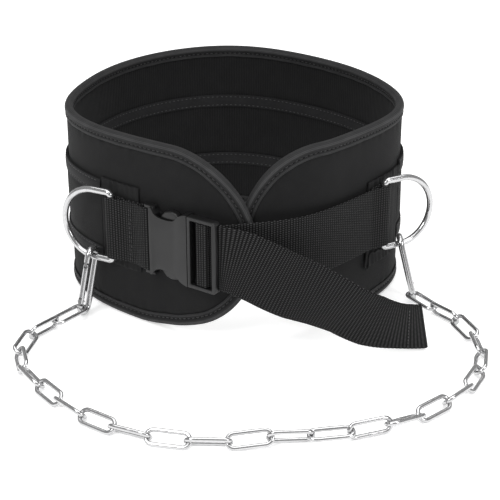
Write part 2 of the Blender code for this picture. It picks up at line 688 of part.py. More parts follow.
def make_strap_right():
    ring_run = run_at(RIGHT_RING_TURN)
    patch_end = run_at(RIGHT_PATCH_TURNS[0])
    fold = ring_fold(RIGHT_RING_TURN, -1)[::-1]
    inner_start = belt_path([(patch_end + 2 * PAST, INNER_PLY)])
    landing_run = run_at(LANDING_TURN)
    standing = belt_path([(run, OUTER_PLY) for run in stations(landing_run, ring_run - FOLD_EASE)[::-1][1:]])
    turn_in = (LADDER_END - END_BAR_WIDTH, STANDING_PLY_DEPTH + LADDER_BEND)
    away = in_buckle(arc(turn_in, LADDER_BEND, -40, -90, 4))
    landing_along = standing[-1] - standing[-2]
    landing_along = landing_along / np.linalg.norm(landing_along)
    first_along = away[1] - away[0]
    first_along = first_along / np.linalg.norm(first_along)
    across_lap = joined(standing[-1], landing_along, away[0], first_along, 6, 0.9)
    corner = WEB_THICK / 2 + GAP
    left_u = CENTRE_BAR - corner
    right_u = SECOND_SLOT + corner
    over_depth = CENTRE_BAR_DEPTH - corner
    soft = THREAD_BEND
    threading = np.concatenate([
        arc((left_u + soft, STANDING_PLY_DEPTH - soft), soft, 90, 180, 3),
        arc((left_u + soft, over_depth + soft), soft, 180, 270, 3),
        arc((right_u - soft, over_depth + soft), soft, 270, 360, 3),
        arc((right_u + soft, TAIL_PLY_DEPTH - soft), soft, 180, 90, 3)])
    middle, across = resting_tail()
    flat = np.concatenate([inner_start, belt_path(fold), standing, across_lap, away, in_buckle(threading)])
    path = np.concatenate([flat, middle])
    widths = np.concatenate([np.broadcast_to(UP, flat.shape), across])
    sweep("strap_right", path, widths, ribbon_section(), False, WEBBING)


# Snap hooks: x towards the gate, y from the chain end to the ring end

HOOK_HALF = (HOOK_LENGTH - HOOK_WIRE) / 2
HOOK_SIDE = (HOOK_WIDTH - HOOK_WIRE) / 2
HOOK_BEND = HOOK_HALF - HOOK_SIDE
RING_SEAT = HOOK_HALF - HOOK_WIRE / 2 - RING_WIRE / 2 - 2 * GAP
GATE_PIN_Y = -HOOK_BEND + GATE_PIN_RISE
NOSE_Y = HOOK_BEND - HOOK_NOSE_DROP
# A hook on a ring too high for it to reach the surface hangs straight down
HOOK_REACH = (MIDDLE - RING_HALF - HOOK_WIRE / 2 - GAP) / (RING_SEAT + HOOK_HALF)
HOOK_LEAN = np.arccos(min(HOOK_REACH, 1.0))


def hook_place(ring, along_ring, heading, twist):
    """Matrix of a hook that hangs on a ring's lower side and just reaches the surface."""
    on_wire = ring @ Matrix.Translation((along_ring, -RING_HALF, 0.0))
    past_leg = max(along_ring - RING_LEG, 0.0)
    lift = RING_HALF - np.sqrt(RING_HALF ** 2 - past_leg ** 2)
    seat = np.array(on_wire.translation) + UP * lift
    y_axis = UP * np.cos(HOOK_LEAN) - heading_vector(heading) * np.sin(HOOK_LEAN)
    wire_along = np.array(ring.to_3x3().col[0])
    x_axis = np.cross(y_axis, wire_along)
    x_axis = x_axis / np.linalg.norm(x_axis)
    z_axis = np.cross(x_axis, y_axis)
    x_axis = x_axis * np.cos(np.radians(twist)) + z_axis * np.sin(np.radians(twist))
    return frame_matrix(x_axis, y_axis, seat - y_axis * RING_SEAT)


def make_hook(side, place):
    path = np.concatenate([
        [(HOOK_SIDE, NOSE_Y)],
        arc((0.0, HOOK_BEND), HOOK_SIDE, 0, 180, 8),
        arc((0.0, -HOOK_BEND), HOOK_SIDE, 180, 360, 8)])
    path = np.concatenate([path, np.zeros((len(path), 1))], axis=1)
    hook = sweep("hook_" + side, path, (0.0, 0.0, 1.0), circle(HOOK_WIRE / 2, 8), False, STEEL, place)
    half = TANG_THICK / 2
    left = HOOK_SIDE - TANG_WIDTH / 2
    right = HOOK_SIDE + TANG_WIDTH / 2
    lower = prism("hook_tang_" + side, rectangle(left, right, -HOOK_BEND - PAST, GATE_PIN_Y + TANG_WIDTH / 2),
                  -half, half, 2, STEEL, place)
    upper = prism("hook_nose_" + side, rectangle(left, right, NOSE_Y - NOSE_TANG, NOSE_Y + PAST),
                  -half, half, 2, STEEL, place)
    pin = prism("hook_pin_" + side, circle(PIN_RADIUS, 10) + (HOOK_SIDE, GATE_PIN_Y),
                -GATE_RADIUS - GAP, GATE_RADIUS + GAP, 2, STEEL, place)
    combine(hook, lower, "UNION")
    combine(hook, upper, "UNION")
    combine(hook, pin, "UNION")


def make_gate(side, place):
    """Sprung gate, its origin on the pin that it turns on."""
    low = -GATE_END
    high = NOSE_Y - GATE_PIN_Y - GATE_TIP_GAP
    pivot = place @ Matrix.Translation((HOOK_SIDE, GATE_PIN_Y, 0.0))
    path = np.array([(0.0, low, 0.0), (0.0, high, 0.0)])
    gate = sweep("gate_" + side, path, (0.0, 0.0, 1.0), circle(GATE_RADIUS, 10), False, STEEL, pivot)
    half = TANG_THICK / 2 + GAP
    wide = GATE_RADIUS + PAST
    foot = prism("gate_foot_" + side, rectangle(-wide, wide, low - PAST, TANG_WIDTH / 2 + PAST),
                 -half, half, 2, STEEL, pivot)
    mouth = prism("gate_mouth_" + side, rectangle(-wide, wide, high - GATE_MOUTH, high + PAST),
                  -half, half, 2, STEEL, pivot)
    hole = prism("gate_hole_" + side, circle(PIN_RADIUS + GAP, 10), -wide, wide, 2, STEEL, pivot)
    combine(gate, foot, "DIFFERENCE")
    combine(gate, mouth, "DIFFERENCE")
    combine(gate, hole, "DIFFERENCE")


def held_joint(place, side, towards):
    """First joint of the chain on a hook, whose wire runs through the end link's opening."""
    angle = np.radians(LINK_SEAT_TURN)
    local = (side * HOOK_SIDE * np.cos(angle), -HOOK_BEND - HOOK_SIDE * np.sin(angle), 0.0)
    wire = np.array((place @ Matrix.Translation(local)).translation)
    leaving = np.array([*towards, wire[2]]) - wire
    leaving = leaving / np.linalg.norm(leaving)
    return wire - leaving * (HOOK_WIRE / 2 + 2 * GAP - LINK_PLAY / 2)


# Chain

def walk(curve, pitch):
    """Places along a dense curve, each one pitch from the last in a straight line."""
    places = [curve[0]]
    start = 0
    for _ in range(LINK_COUNT):
        distance = np.linalg.norm(curve[start:] - places[-1], axis=1)
        beyond = np.argmax(distance > pitch)
        if distance[beyond] <= pitch:
            return places, pitch - distance[-1]
        before = distance[beyond - 1]
        share = (pitch - before) / (distance[beyond] - before)
        places.append(curve[start + beyond - 1] * (1 - share) + curve[start + beyond] * share)
        start = start + beyond
    return places, -np.linalg.norm(curve[-1] - places[-1])


def chain_joints(first, last):
    """Joints of the chain between the two hooks, at the pitch that spaces the links evenly."""
    route = np.array([first[:2], *CHAIN_ROUTE, last[:2]])
    curve = curve_at(route, curve_slopes(route, False), np.linspace(0, len(route) - 1.001, 4000))
    low = 0.5 * np.linalg.norm(np.diff(curve, axis=0), axis=1).sum() / LINK_COUNT
    high = 3 * low
    for _ in range(40):
        pitch = (low + high) / 2
        places, over = walk(curve, pitch)
        if over > 0:
            high = pitch
        else:
            low = pitch
    return np.array(walk(curve, low)[0]), low


def link_axes(start, end, lean):
    """Unit directions along and across a link between two joints, lying over by its lean."""
    along = (end - start) / np.linalg.norm(end - start)
    level = np.cross(UP, along)
    level = level / np.linalg.norm(level)
    return along, level * np.cos(lean) + np.cross(along, level) * np.sin(lean)


def settled(joints, path, leans):
    """The joints raised until no link reaches below the surface."""
    for _ in range(60):
        for number, lean in enumerate(leans):
            start, end = joints[number:number + 2]
            along, across = link_axes(start, end, lean)
            lowest = (start[2] + end[2]) / 2 + np.min(path[:, 0] * along[2] + path[:, 1] * across[2])
            sunk = LINK_WIRE / 2 - lowest
            if sunk > 0:
                inner = np.array([number > 0, number < LINK_COUNT - 1])
                joints[number:number + 2, 2] += inner * sunk * 2 / inner.sum()
    return joints


def make_chain(first, last):
    overhang = (LINK_PLAY + LINK_WIRE) / 2
    flat, pitch = chain_joints(first, last)
    middle_half = (LINK_WIDTH - LINK_WIRE) / 2
    straight = pitch / 2 + overhang - middle_half
    path = np.concatenate([
        arc((straight, 0.0), middle_half, -90, 90, LINK_BEND_STEPS),
        arc((-straight, 0.0), middle_half, 90, 270, LINK_BEND_STEPS)])
    path = np.concatenate([path, np.zeros((len(path), 1))], axis=1)
    leans = np.radians(LINK_LEANS)
    rest = middle_half * np.abs(np.sin(leans)) + LINK_WIRE / 2
    heights = np.concatenate([[first[2]], (rest[1:] + rest[:-1]) / 2, [last[2]]])
    joints = settled(np.concatenate([flat, heights[:, None]], axis=1), path, leans)
    shared = None
    for number, lean in enumerate(leans):
        start, end = joints[number:number + 2]
        along, across = link_axes(start, end, lean)
        place = frame_matrix(along, across, (start + end) / 2)
        name = "link_%02d" % (number + 1)
        if shared is None:
            shared = sweep(name, path, (0.0, 0.0, 1.0), circle(LINK_WIRE / 2, LINK_SIDES), True, STEEL, place)
        else:
            place_mesh(name, shared.data, place)


def stand_at_origin():
    """Carry everything so that the middle of the underside of the whole box is the origin."""
    bpy.context.view_layer.update()
    corners = []
    for piece in bpy.context.scene.objects:
        if piece.type == "MESH" and not piece.hide_render:
            matrix = np.array(piece.matrix_world)
            points = np.array([vertex.co for vertex in piece.data.vertices])
            placed = points @ matrix[:3, :3].T + matrix[:3, 3]
            corners.append(placed.min(axis=0))
            corners.append(placed.max(axis=0))
    low = np.min(corners, axis=0)
    high = np.max(corners, axis=0)
    STAND.location = (-(low[0] + high[0]) / 2, -(low[1] + high[1]) / 2, -low[2])
    bpy.context.view_layer.update()


make_panel()
make_edge_binding()
make_belt_layers()
left_ring = ring_place(LEFT_RING_TURN, LEFT_RING_HEADING)
right_ring = ring_place(RIGHT_RING_TURN, RIGHT_RING_HEADING)
make_ring("ring_left", left_ring)
make_ring("ring_right", right_ring)
make_socket()
make_plug()
make_strap_left()
make_strap_right()
left_hook = hook_place(left_ring, LEFT_HOOK_ALONG_RING, LEFT_HOOK_HEADING, LEFT_HOOK_TWIST)
right_hook = hook_place(right_ring, RIGHT_HOOK_ALONG_RING, RIGHT_HOOK_HEADING, RIGHT_HOOK_TWIST)
make_hook("left", left_hook)
make_gate("left", left_hook)
make_hook("right", right_hook)
make_gate("right", right_hook)
make_chain(held_joint(left_hook, 1, CHAIN_ROUTE[0]), held_joint(right_hook, -1, CHAIN_ROUTE[-1]))
stand_at_origin()
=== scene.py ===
"""Dip belt: a padded waist belt standing on its lower edge, closed in front by webbing and a side-release
buckle, with a steel chain clipped by snap hooks to a D-ring at each side.

Metres, +Z up, the belt's front towards -Y.
"""

import json

import bmesh
import bpy
import numpy as np
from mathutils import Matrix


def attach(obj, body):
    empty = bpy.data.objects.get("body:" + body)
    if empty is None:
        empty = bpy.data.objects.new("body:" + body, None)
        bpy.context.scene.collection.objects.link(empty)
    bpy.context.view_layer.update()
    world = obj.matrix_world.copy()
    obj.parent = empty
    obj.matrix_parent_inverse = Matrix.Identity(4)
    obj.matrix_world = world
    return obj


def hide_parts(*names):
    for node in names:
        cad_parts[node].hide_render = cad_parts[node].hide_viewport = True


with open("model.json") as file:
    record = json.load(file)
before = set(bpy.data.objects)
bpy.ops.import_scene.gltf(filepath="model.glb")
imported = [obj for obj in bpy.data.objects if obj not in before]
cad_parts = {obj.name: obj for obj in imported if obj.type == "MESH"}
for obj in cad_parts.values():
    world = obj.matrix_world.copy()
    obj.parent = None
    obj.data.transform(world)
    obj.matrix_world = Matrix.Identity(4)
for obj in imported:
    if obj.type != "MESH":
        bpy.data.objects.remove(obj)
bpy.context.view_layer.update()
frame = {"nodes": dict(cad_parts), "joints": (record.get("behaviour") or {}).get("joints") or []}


# Waist panel. Foam between two knitted faces, cut in one piece with rounded ends, the left end over the
# right one in front. It is the pad of the belt, held flat where its edge tape and channels are sewn down.

BELT_MIDDLE = np.array([-0.01206, 0.05615, 0.0])
HALF_WIDTH = 0.135
PLAN_SHARES = np.array([
    0.993, 1.017, 1.047, 1.115, 1.215, 1.190, 1.106, 1.031,
    0.996, 0.914, 0.844, 0.859, 0.941, 0.922, 0.870, 0.907])
BELT_HEIGHT = 0.150
MIDDLE = BELT_HEIGHT / 2
BACK_RISE = 0.004
RISE_TURN = 200.0
PANEL_THICK = 0.0044
PANEL_ROWS = 76
END_LENGTH = 0.070
LEFT_LIFT = 0.0072
RIGHT_LIFT = 0.0130
LIFT_RUNS = (0.105, 0.045)
LEFT_TIP_TURN = 278.2
RIGHT_TIP_TURN = -89.4
LAP_TURNS = (-48.0, -80.0)
LAP_DIP = 0.0073
SLEEVE_TURNS = (-8.0, 212.0)
SEAM_LINES = (0.0335, 0.0223)
SEAM_DEPTH = 0.0006
TAPE_OUT = 0.00115
TAPE_WIDTH = 0.0100
TAPE_PRESS = 0.0005
PANEL_SWELL = 0.00022
PANEL_SLACK = 0.00035
PUCKER = 0.00045
MERGE = 0.000002


def columns(*values):
    """Numbers or arrays side by side, as the last axis of one array."""
    return np.stack(np.broadcast_arrays(*values), axis=-1)


def unit(vectors):
    """Vectors at length one."""
    return vectors / np.linalg.norm(vectors, axis=-1, keepdims=True)


def lengths(points):
    """Length along a row of points up to each: the sum of the steps before it."""
    return np.concatenate([[0.0], np.cumsum(np.linalg.norm(np.diff(points, axis=0), axis=1))])


def sample(points, length, where):
    """Places at given lengths along a row of points, straight between them."""
    return np.stack([np.interp(where, length, column) for column in points.T], axis=1)


def even_row(points, spacing):
    """A row of points, whose first columns are its places, at an even spacing, and the length up to each."""
    length = lengths(points[:, :3])
    even = np.linspace(0, length[-1], int(length[-1] / spacing) + 1)
    return sample(points, length, even), even


def cubic(share, start, start_slope, end, end_slope):
    """Cubic between two values with given slopes at its ends."""
    return (start * (1 + 2 * share) * (1 - share) ** 2 + start_slope * share * (1 - share) ** 2
            + end * (3 - 2 * share) * share ** 2 - end_slope * (1 - share) * share ** 2)


def spline_slopes(values, closed):
    """Slopes of a cubic curve through even stations whose bend has no jump, from one linear system."""
    count = len(values)
    system = 4 * np.eye(count) + np.eye(count, k=1) + np.eye(count, k=-1)
    ahead = np.minimum(np.arange(count) + 1, count - 1)
    behind = np.maximum(np.arange(count) - 1, 0)
    if closed:
        system[[0, -1], [-1, 0]] = 1
        ahead[-1], behind[0] = 0, count - 1
    else:
        system[[0, -1], [0, -1]] = 2
    return np.linalg.solve(system, 3 * (values[ahead] - values[behind]))


def spline(values, where, closed=False):
    """Value at a station number: the cubic between the stations before and after it."""
    slopes = spline_slopes(values, closed)
    low = np.floor(where).astype(int)
    if not closed:
        low = np.clip(low, 0, len(values) - 2)
    share = where - low
    if values.ndim > 1:
        share = share[..., None]
    start, end = low % len(values), (low + 1) % len(values)
    return cubic(share, values[start], slopes[start], values[end], slopes[end])


def plan(turn):
    """Outer face from above: a closed spline of the radius over the turn, in degrees from +X to +Y."""
    turn = np.asarray(turn, dtype=float)
    radius = HALF_WIDTH * spline(PLAN_SHARES, turn / 360 * len(PLAN_SHARES), True)
    angle = np.radians(turn)
    return columns(radius * np.cos(angle), radius * np.sin(angle))


TURNS = np.arange(-180.0, 460.0, 0.5)
RUNS = lengths(plan(TURNS))
RUNS = RUNS - np.interp(90.0, TURNS, RUNS)


def run_at(turn):
    """Length along the outer face from the middle of the back to a turn."""
    return np.interp(turn, TURNS, RUNS)


def on_belt(run, out, height):
    """Place a distance out from the outer face: the plan point moved along its normal, at the height."""
    turn = np.interp(run, RUNS, TURNS)
    ahead = unit(plan(turn + 0.5) - plan(turn - 0.5))
    flat = plan(turn) + np.asarray(out)[..., None] * columns(ahead[..., 1], -ahead[..., 0])
    return columns(flat[..., 0], flat[..., 1], height) + BELT_MIDDLE


def ease(share):
    """Smooth step: 3 s^2 - 2 s^3 between 0 and 1."""
    share = np.clip(share, 0.0, 1.0)
    return share * share * (3 - 2 * share)


def lap_dip(run):
    """How far the right end is set in behind the left one, eased in over the lap's turns."""
    start, full = run_at(LAP_TURNS[0]), run_at(LAP_TURNS[1])
    return LAP_DIP * ease((start - run) / (start - full))


LEFT_TIP = run_at(LEFT_TIP_TURN)
RIGHT_TIP = run_at(RIGHT_TIP_TURN)


def belt_edges(inset, end_steps, step):
    """Columns of the belt and the heights of its lower and upper edge: half ellipses at both ends, moved in,
    the lower edge drawn up towards each end and the upper one towards the back."""
    sweep = np.radians(np.linspace(90, 0, end_steps + 1))
    tall = MIDDLE - inset
    reach, half = (END_LENGTH - inset) * np.sin(sweep), tall * np.cos(sweep)
    start, end = RIGHT_TIP + END_LENGTH, LEFT_TIP - END_LENGTH
    middle = np.linspace(start, end, int((end - start) / step) + 1)[1:-1]
    runs = np.concatenate([start - reach, middle, (end + reach)[::-1]])
    halves = np.concatenate([half, np.full(len(middle), tall), half[::-1]])
    share = halves / tall
    rise = BACK_RISE * ease(1 - np.abs(runs) / run_at(RISE_TURN)) * share
    lift_length = LIFT_RUNS[0] - LIFT_RUNS[1]
    lift = (LEFT_LIFT * ease((LIFT_RUNS[0] - LEFT_TIP + runs) / lift_length)
            + RIGHT_LIFT * ease((LIFT_RUNS[0] - runs + RIGHT_TIP) / lift_length)) * share
    return runs, MIDDLE - halves + lift, MIDDLE + halves + rise


def belt_loop(spacing):
    """Belt's outline as one closed row of (run, height) points at an even spacing, lower edge first."""
    runs, low, high = belt_edges(0.0, 60, 0.001)
    loop = np.concatenate([columns(runs, low), columns(runs, high)[-2:0:-1]])
    return even_row(np.concatenate([loop, loop[:1]]), spacing)


def edge_distance(run, height):
    """Distance from places on the belt to its outline, and how far round it the nearest point lies."""
    loop, around = belt_loop(0.002)
    places = columns(run.ravel(), height.ravel())
    apart = ((places[:, None] - loop[None]) ** 2).sum(axis=2)
    nearest = apart.argmin(axis=1)
    return np.sqrt(apart.min(axis=1)).reshape(run.shape), around[nearest].reshape(run.shape)


def wobble(along, length, seed):
    """Uneven wave between about -1 and 1: three sines whose lengths don't divide into each other."""
    phase = along * 2 * np.pi / length + seed
    return (np.sin(phase) + 0.7 * np.sin(1.37 * phase + 2.1 * seed)
            + 0.5 * np.sin(0.61 * phase + 0.7 * seed)) / 1.9


def rounded(distance, radius):
    """Quarter circle: 0 at an edge, 1 from a radius inwards."""
    share = np.clip(distance / radius, 0, 1)
    return np.sqrt(1 - (1 - share) ** 2)


def grid_quads(rows, across):
    """Four corners of each cell of a grid of points, row by row."""
    index = np.arange(rows * across).reshape(rows, across)
    return columns(index[:-1, :-1], index[1:, :-1], index[1:, 1:], index[:-1, 1:]).reshape(-1, 4)


def close_mesh(mesh):
    """Merge a mesh's doubled points, drop cells of no size and turn its normals out."""
    shape = bmesh.new()
    shape.from_mesh(mesh)
    bmesh.ops.remove_doubles(shape, verts=shape.verts, dist=MERGE)
    bmesh.ops.dissolve_degenerate(shape, edges=shape.edges, dist=MERGE / 2)
    bmesh.ops.recalc_face_normals(shape, faces=shape.faces)
    shape.to_mesh(mesh)
    shape.free()


def add_object(name, data, finish=None):
    """New object in the scene, in its finish if it has one."""
    if finish:
        data.materials.append(finish.material)
    made = bpy.data.objects.new(name, data)
    bpy.context.scene.collection.objects.link(made)
    return made


def make_piece(name, grids, finish, uvs=None, marks=None):
    """One closed object from grids of points (rows, columns, 3), whose cells become faces. uvs has a (rows,
    columns, 2) grid for each, and marks a number for each point."""
    faces, start = [], 0
    for grid in grids:
        faces.append(grid_quads(*grid.shape[:2]) + start)
        start += grid.shape[0] * grid.shape[1]
    points = np.concatenate([grid.reshape(-1, 3) for grid in grids])
    faces = np.concatenate(faces)
    mesh = bpy.data.meshes.new(name)
    mesh.vertices.add(len(points))
    mesh.vertices.foreach_set("co", points.ravel())
    mesh.loops.add(faces.size)
    mesh.loops.foreach_set("vertex_index", faces.ravel())
    mesh.polygons.add(len(faces))
    mesh.polygons.foreach_set("loop_start", np.arange(0, faces.size, 4))
    mesh.update(calc_edges=True)
    if uvs:
        flat = np.concatenate([uv.reshape(-1, 2) for uv in uvs])
        mesh.uv_layers.new(name="cloth").data.foreach_set("uv", flat[faces.ravel()].ravel())
    if marks:
        attribute = mesh.attributes.new("mark", "FLOAT", "POINT")
        attribute.data.foreach_set("value", np.concatenate([mark.ravel() for mark in marks]))
    close_mesh(mesh)
    mesh.shade_smooth()
    return add_object(name, mesh, finish)


def fit(piece, slot, *nodes, body="belt"):
    """The piece rides on a body, and the nodes it stands for are hidden. slot is not used."""
    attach(piece, body)
    if nodes:
        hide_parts(*nodes)


class Wire:
    """Output of a shader node; arithmetic on wires and numbers adds Math nodes."""

    def __init__(self, finish, socket):
        self.finish, self.socket = finish, socket

    def math(self, operation, *values):
        """One Math node on wires and numbers."""
        return self.finish.node("ShaderNodeMath", {"operation": operation}, values)

    def __add__(self, other):
        return self.math("ADD", self, other)

    def __sub__(self, other):
        return self.math("SUBTRACT", self, other)

    def __rsub__(self, other):
        return self.math("SUBTRACT", other, self)

    def __mul__(self, other):
        return self.math("MULTIPLY", self, other)

    def __pow__(self, other):
        return self.math("POWER", self, other)

    def __abs__(self):
        return self.math("ABSOLUTE", self)

    def __gt__(self, other):
        return self.math("GREATER_THAN", self, other)

    def wave(self, length):
        """Sine with a wave length in the wire's own unit."""
        return self.math("SINE", self * (2 * np.pi / length))

    def band(self, low, high):
        """Smooth step from 0 at low to 1 at high."""
        return self.finish.node("ShaderNodeMapRange", {"interpolation_type": "SMOOTHSTEP"},
                                (self, low, high, 0.0, 1.0))


class Finish:
    """A material with its Principled shader, and the calls that add nodes to it."""

    def __init__(self, name, roughness, **constants):
        self.material = bpy.data.materials.new(name)
        self.material.use_nodes = True
        self.tree = self.material.node_tree
        self.shader = self.tree.nodes["Principled BSDF"]
        for socket, value in dict(constants, Roughness=roughness).items():
            self.shader.inputs[socket.replace("_", " ")].default_value = value

    def node(self, kind, settings, inputs, output=0):
        """Node of a kind with its settings made first, then its inputs, numbers or wires, by order or name."""
        made = self.tree.nodes.new(kind)
        for setting, value in settings.items():
            setattr(made, setting, value)
        for key, value in inputs.items() if isinstance(inputs, dict) else enumerate(inputs):
            self.feed(made.inputs[key], value)
        return Wire(self, made.outputs[output])

    def feed(self, socket, value):
        """A wire is linked to the socket, anything else is its constant."""
        if isinstance(value, Wire):
            self.tree.links.new(value.socket, socket)
        else:
            socket.default_value = value

    def cloth_place(self):
        """The piece's own UV map in millimetres: along the cloth, and across it."""
        place = self.node("ShaderNodeUVMap", {"uv_map": "cloth"}, {})
        split = self.node("ShaderNodeSeparateXYZ", {}, (place,))
        return split * 1000, Wire(self, split.socket.node.outputs[1]) * 1000

    def mark(self):
        """The number that each point of the piece carries."""
        return self.node("ShaderNodeAttribute", {"attribute_name": "mark"}, {}, 2)

    def noise(self, size, detail=2.0, stretch=(1.0, 1.0, 1.0)):
        """Noise in Object coordinates, with its lumps about one size in metres."""
        place = self.node("ShaderNodeTexCoord", {}, {}, 3)
        place = self.node("ShaderNodeMapping", {}, {"Vector": place, "Scale": stretch})
        return self.node("ShaderNodeTexNoise", {}, {"Vector": place, "Scale": 1 / size, "Detail": detail})

    def paint(self, dark, light, share):
        """Base colour between two colours."""
        inputs = {0: share, 6: (*dark, 1.0), 7: (*light, 1.0)}
        self.feed(self.shader.inputs["Base Color"],
                  self.node("ShaderNodeMix", {"data_type": "RGBA"}, inputs, 2))

    def relief(self, height, depth):
        """Bump from a height wire, whose unit stands for a depth in metres."""
        self.feed(self.shader.inputs["Normal"], self.node(
            "ShaderNodeBump", {}, {"Strength": 1.0, "Distance": depth, "Height": height}))


def neoprene_finish():
    """Fine knit, its courses and wales under 1 mm apart, deeper upright ribs inside, and faint mottling."""
    finish = Finish("neoprene", 0.88, Sheen_Weight=0.03, Sheen_Roughness=0.5, Specular_IOR_Level=0.12)
    along, up = finish.cloth_place()
    inside = finish.mark()
    knit = along.wave(0.9) * 0.5 + up.wave(0.8) * 0.5
    ribs = along.wave(2.4)
    mottle = finish.noise(0.012)
    pile = finish.noise(0.0011, 1.0)
    share = mottle * 0.5 + pile * 0.4 + ribs * inside * 0.25 - inside * 0.15
    finish.paint((0.0068, 0.0068, 0.0071), (0.0154, 0.0154, 0.0157), share)
    finish.relief(knit * (1 - inside) + ribs * inside + pile * 0.8, 0.00008)
    return finish


def make_panel():
    """Two faces over (run, height): the face's own place moved out by the swell that grows away from the
    tape, less the seams of the channels and the puckers by the tape. Both close in a quarter circle."""
    runs, low, high = belt_edges(TAPE_OUT, 44, 0.0020)
    share = ((1 - np.cos(np.linspace(0, np.pi, PANEL_ROWS))) / 2 * 0.35
             + np.linspace(0, 1, PANEL_ROWS) * 0.65)
    run = np.repeat(runs[:, None], len(share), axis=1)
    height = low[:, None] + (high - low)[:, None] * share
    distance, around = edge_distance(run, height)
    inward = np.maximum(distance - TAPE_WIDTH, 0)
    swell = PANEL_SWELL * (1 - np.exp(-inward / 0.004))
    gather = PUCKER * np.exp(-inward / 0.0028) * wobble(around, 0.0105, 0.4)
    pressed = TAPE_PRESS * (1 - ease((distance - 0.0085) / 0.002))
    close = rounded(distance - TAPE_OUT, 0.002)
    half = PANEL_THICK / 2
    soft = PANEL_SLACK * wobble(run + 0.4 * height, 0.071, 1.3) * ease(inward / 0.03)
    level = height - MIDDLE
    seam = sum(np.exp(-((np.abs(level) - line) / 0.0012) ** 2) for line in SEAM_LINES)
    start, end = SLEEVE_TURNS
    covered = ease((run - run_at(start)) / 0.01) * ease((run_at(end) - run) / 0.01)
    base = -lap_dip(run)
    outer = base - half + close * (half - pressed + swell + gather - 0.0003 * covered)
    inner = base - half - close * (half - pressed + swell + gather * 0.8 + soft - SEAM_DEPTH * seam * covered)
    faces = [on_belt(run, outer, height), on_belt(run, inner, height)]
    panel = make_piece("waist_panel", faces, neoprene_finish(), [columns(run, height)] * 2,
                       [np.zeros(run.shape), np.ones(run.shape)])
    fit(panel, "neoprene", "belt_panel")


make_panel()


# Edge tape. Ribbed woven tape folded over the panel's edge all the way round and sewn through with one row of
# stitches near its inner edges, which draws it down so that the fold stands up as a soft roll.

TAPE_FOLD = 0.0040
TAPE_LEAF = (
    (0.0046, 1.01), (0.0052, 0.96), (0.0057, 0.86), (0.0061, 0.75), (0.0065, 0.75), (0.0070, 0.86),
    (0.0076, 0.915), (0.0085, 0.925), (0.0093, 0.90), (0.0097, 0.84))
TAPE_BACK = (
    (0.0096, 0.74), (0.0080, 0.76), (0.0066, 0.60), (0.0060, 0.60), (0.0050, 0.78), (0.0032, 0.78),
    (0.0014, 0.55), (0.0008, 0.0))
TAPE_RIPPLE = 0.00006
BEND_RIPPLE = 0.00022
TAPE_WAVER = 0.00018
# Painted shade and highlight across the edge tape: reach in from the tape's outer edge in metres, and the mark
# there, which darkens the colour above zero and lightens it below.
TAPE_PAINTED_LIGHT = ((0.0, 0.0012, 0.0022, 0.0030, 0.0040, 0.0055, 0.0063, 0.0072, 0.0080, 0.0097),
              (0.35, 0.15, -0.85, -0.85, 0.55, 0.75, 1.05, 0.85, -0.2, 0.3))


def tape_finish(name, light):
    """Lengthwise ribs 1.15 mm apart crossed by fine picks. The mark paints light into the colour: above zero
    it darkens it as painted shade in the stitched crease and on the flank of the roll, below zero it lightens
    it as a painted highlight on the crest of the roll and on the ridge beyond the crease."""
    finish = Finish(name, 0.72, Sheen_Weight=0.03, Sheen_Roughness=0.5, Specular_IOR_Level=0.14)
    along, across = finish.cloth_place()
    shade_and_highlight = finish.mark()
    ribs = across.wave(1.15) * 0.5 + 0.5
    picks = along.wave(0.75) * 0.5 + 0.5
    share = ribs * 0.35 + picks * 0.2 + finish.noise(0.010, 3.0) * 0.45
    # Painted shade and highlight: the mark darkens or lightens the colour.
    finish.paint((0.0040, 0.0040, 0.0043), (light, light, light + 0.001), share * (1 - shade_and_highlight * 0.85))
    finish.relief(ribs + picks * 0.35 + finish.noise(0.0012, 1.0) * 0.5, 0.00012)
    return finish


def inward_of(loop):
    """Directions into the belt, square to its outline: the step between a point's neighbours, turned."""
    ahead = unit(np.roll(loop, -1, axis=0) - np.roll(loop, 1, axis=0))
    return columns(-ahead[:, 1], ahead[:, 0])


def make_edge_tape():
    """A profile of (inward, out) points carried round the belt's outline: a round fold with two leaves, each
    drawn down at its stitch row and turned in at its edge. The leaves ripple where the tape gathers."""
    loop, around = belt_loop(0.0022)
    loop, around = loop[:-1], around[:-1]
    inward = inward_of(loop)
    half = PANEL_THICK / 2 + TAPE_OUT
    angle = np.radians(np.linspace(0, 90, 9))
    fold = columns(TAPE_FOLD * (1 - np.cos(angle)), half * 1.02 * np.sin(angle) ** 0.9)
    side = np.concatenate([fold, np.array(TAPE_LEAF + TAPE_BACK) * (1, half)])
    profile = np.concatenate([side, side[-2::-1] * (1, -1)])
    reach, out = profile.T
    bend = np.abs(np.gradient(np.unwrap(np.arctan2(-inward[:, 0], inward[:, 1])), around))
    gather = TAPE_RIPPLE + BEND_RIPPLE * ease(bend / 12)
    leafy = ease((reach - 0.003) / 0.004) * np.sign(out) * (np.abs(out) > 0.84 * half)
    ripple = wobble(around, 0.0052, 0.9)[:, None] * gather[:, None] * leafy
    waver = TAPE_WAVER * wobble(around, 0.031, 2.2)[:, None] * ease((reach - 0.006) / 0.004)
    places = loop[:, None] + reach[None, :, None] * inward[:, None]
    places = places + waver[..., None] * inward[:, None]
    level = out - PANEL_THICK / 2 - lap_dip(places[..., 0]) + ripple
    points = on_belt(places[..., 0], level, places[..., 1])
    points[..., 2] = np.maximum(points[..., 2], 0.00001)
    points = np.concatenate([points, points[:1]])
    uv = columns(np.append(around, around[-1] * 2 - around[-2])[:, None], lengths(profile))
    # Painted shade on the flank and in the crease, painted highlight on the crest of the roll and on the
    # ridge.
    shade_and_highlight = np.interp(reach, *TAPE_PAINTED_LIGHT) + np.broadcast_to(0.0, points.shape[:2])
    fit(make_piece("edge_tape", [points], tape_finish("edge_tape", 0.046), [uv], [shade_and_highlight]),
        "edge_tape", "edge_binding")


make_edge_tape()


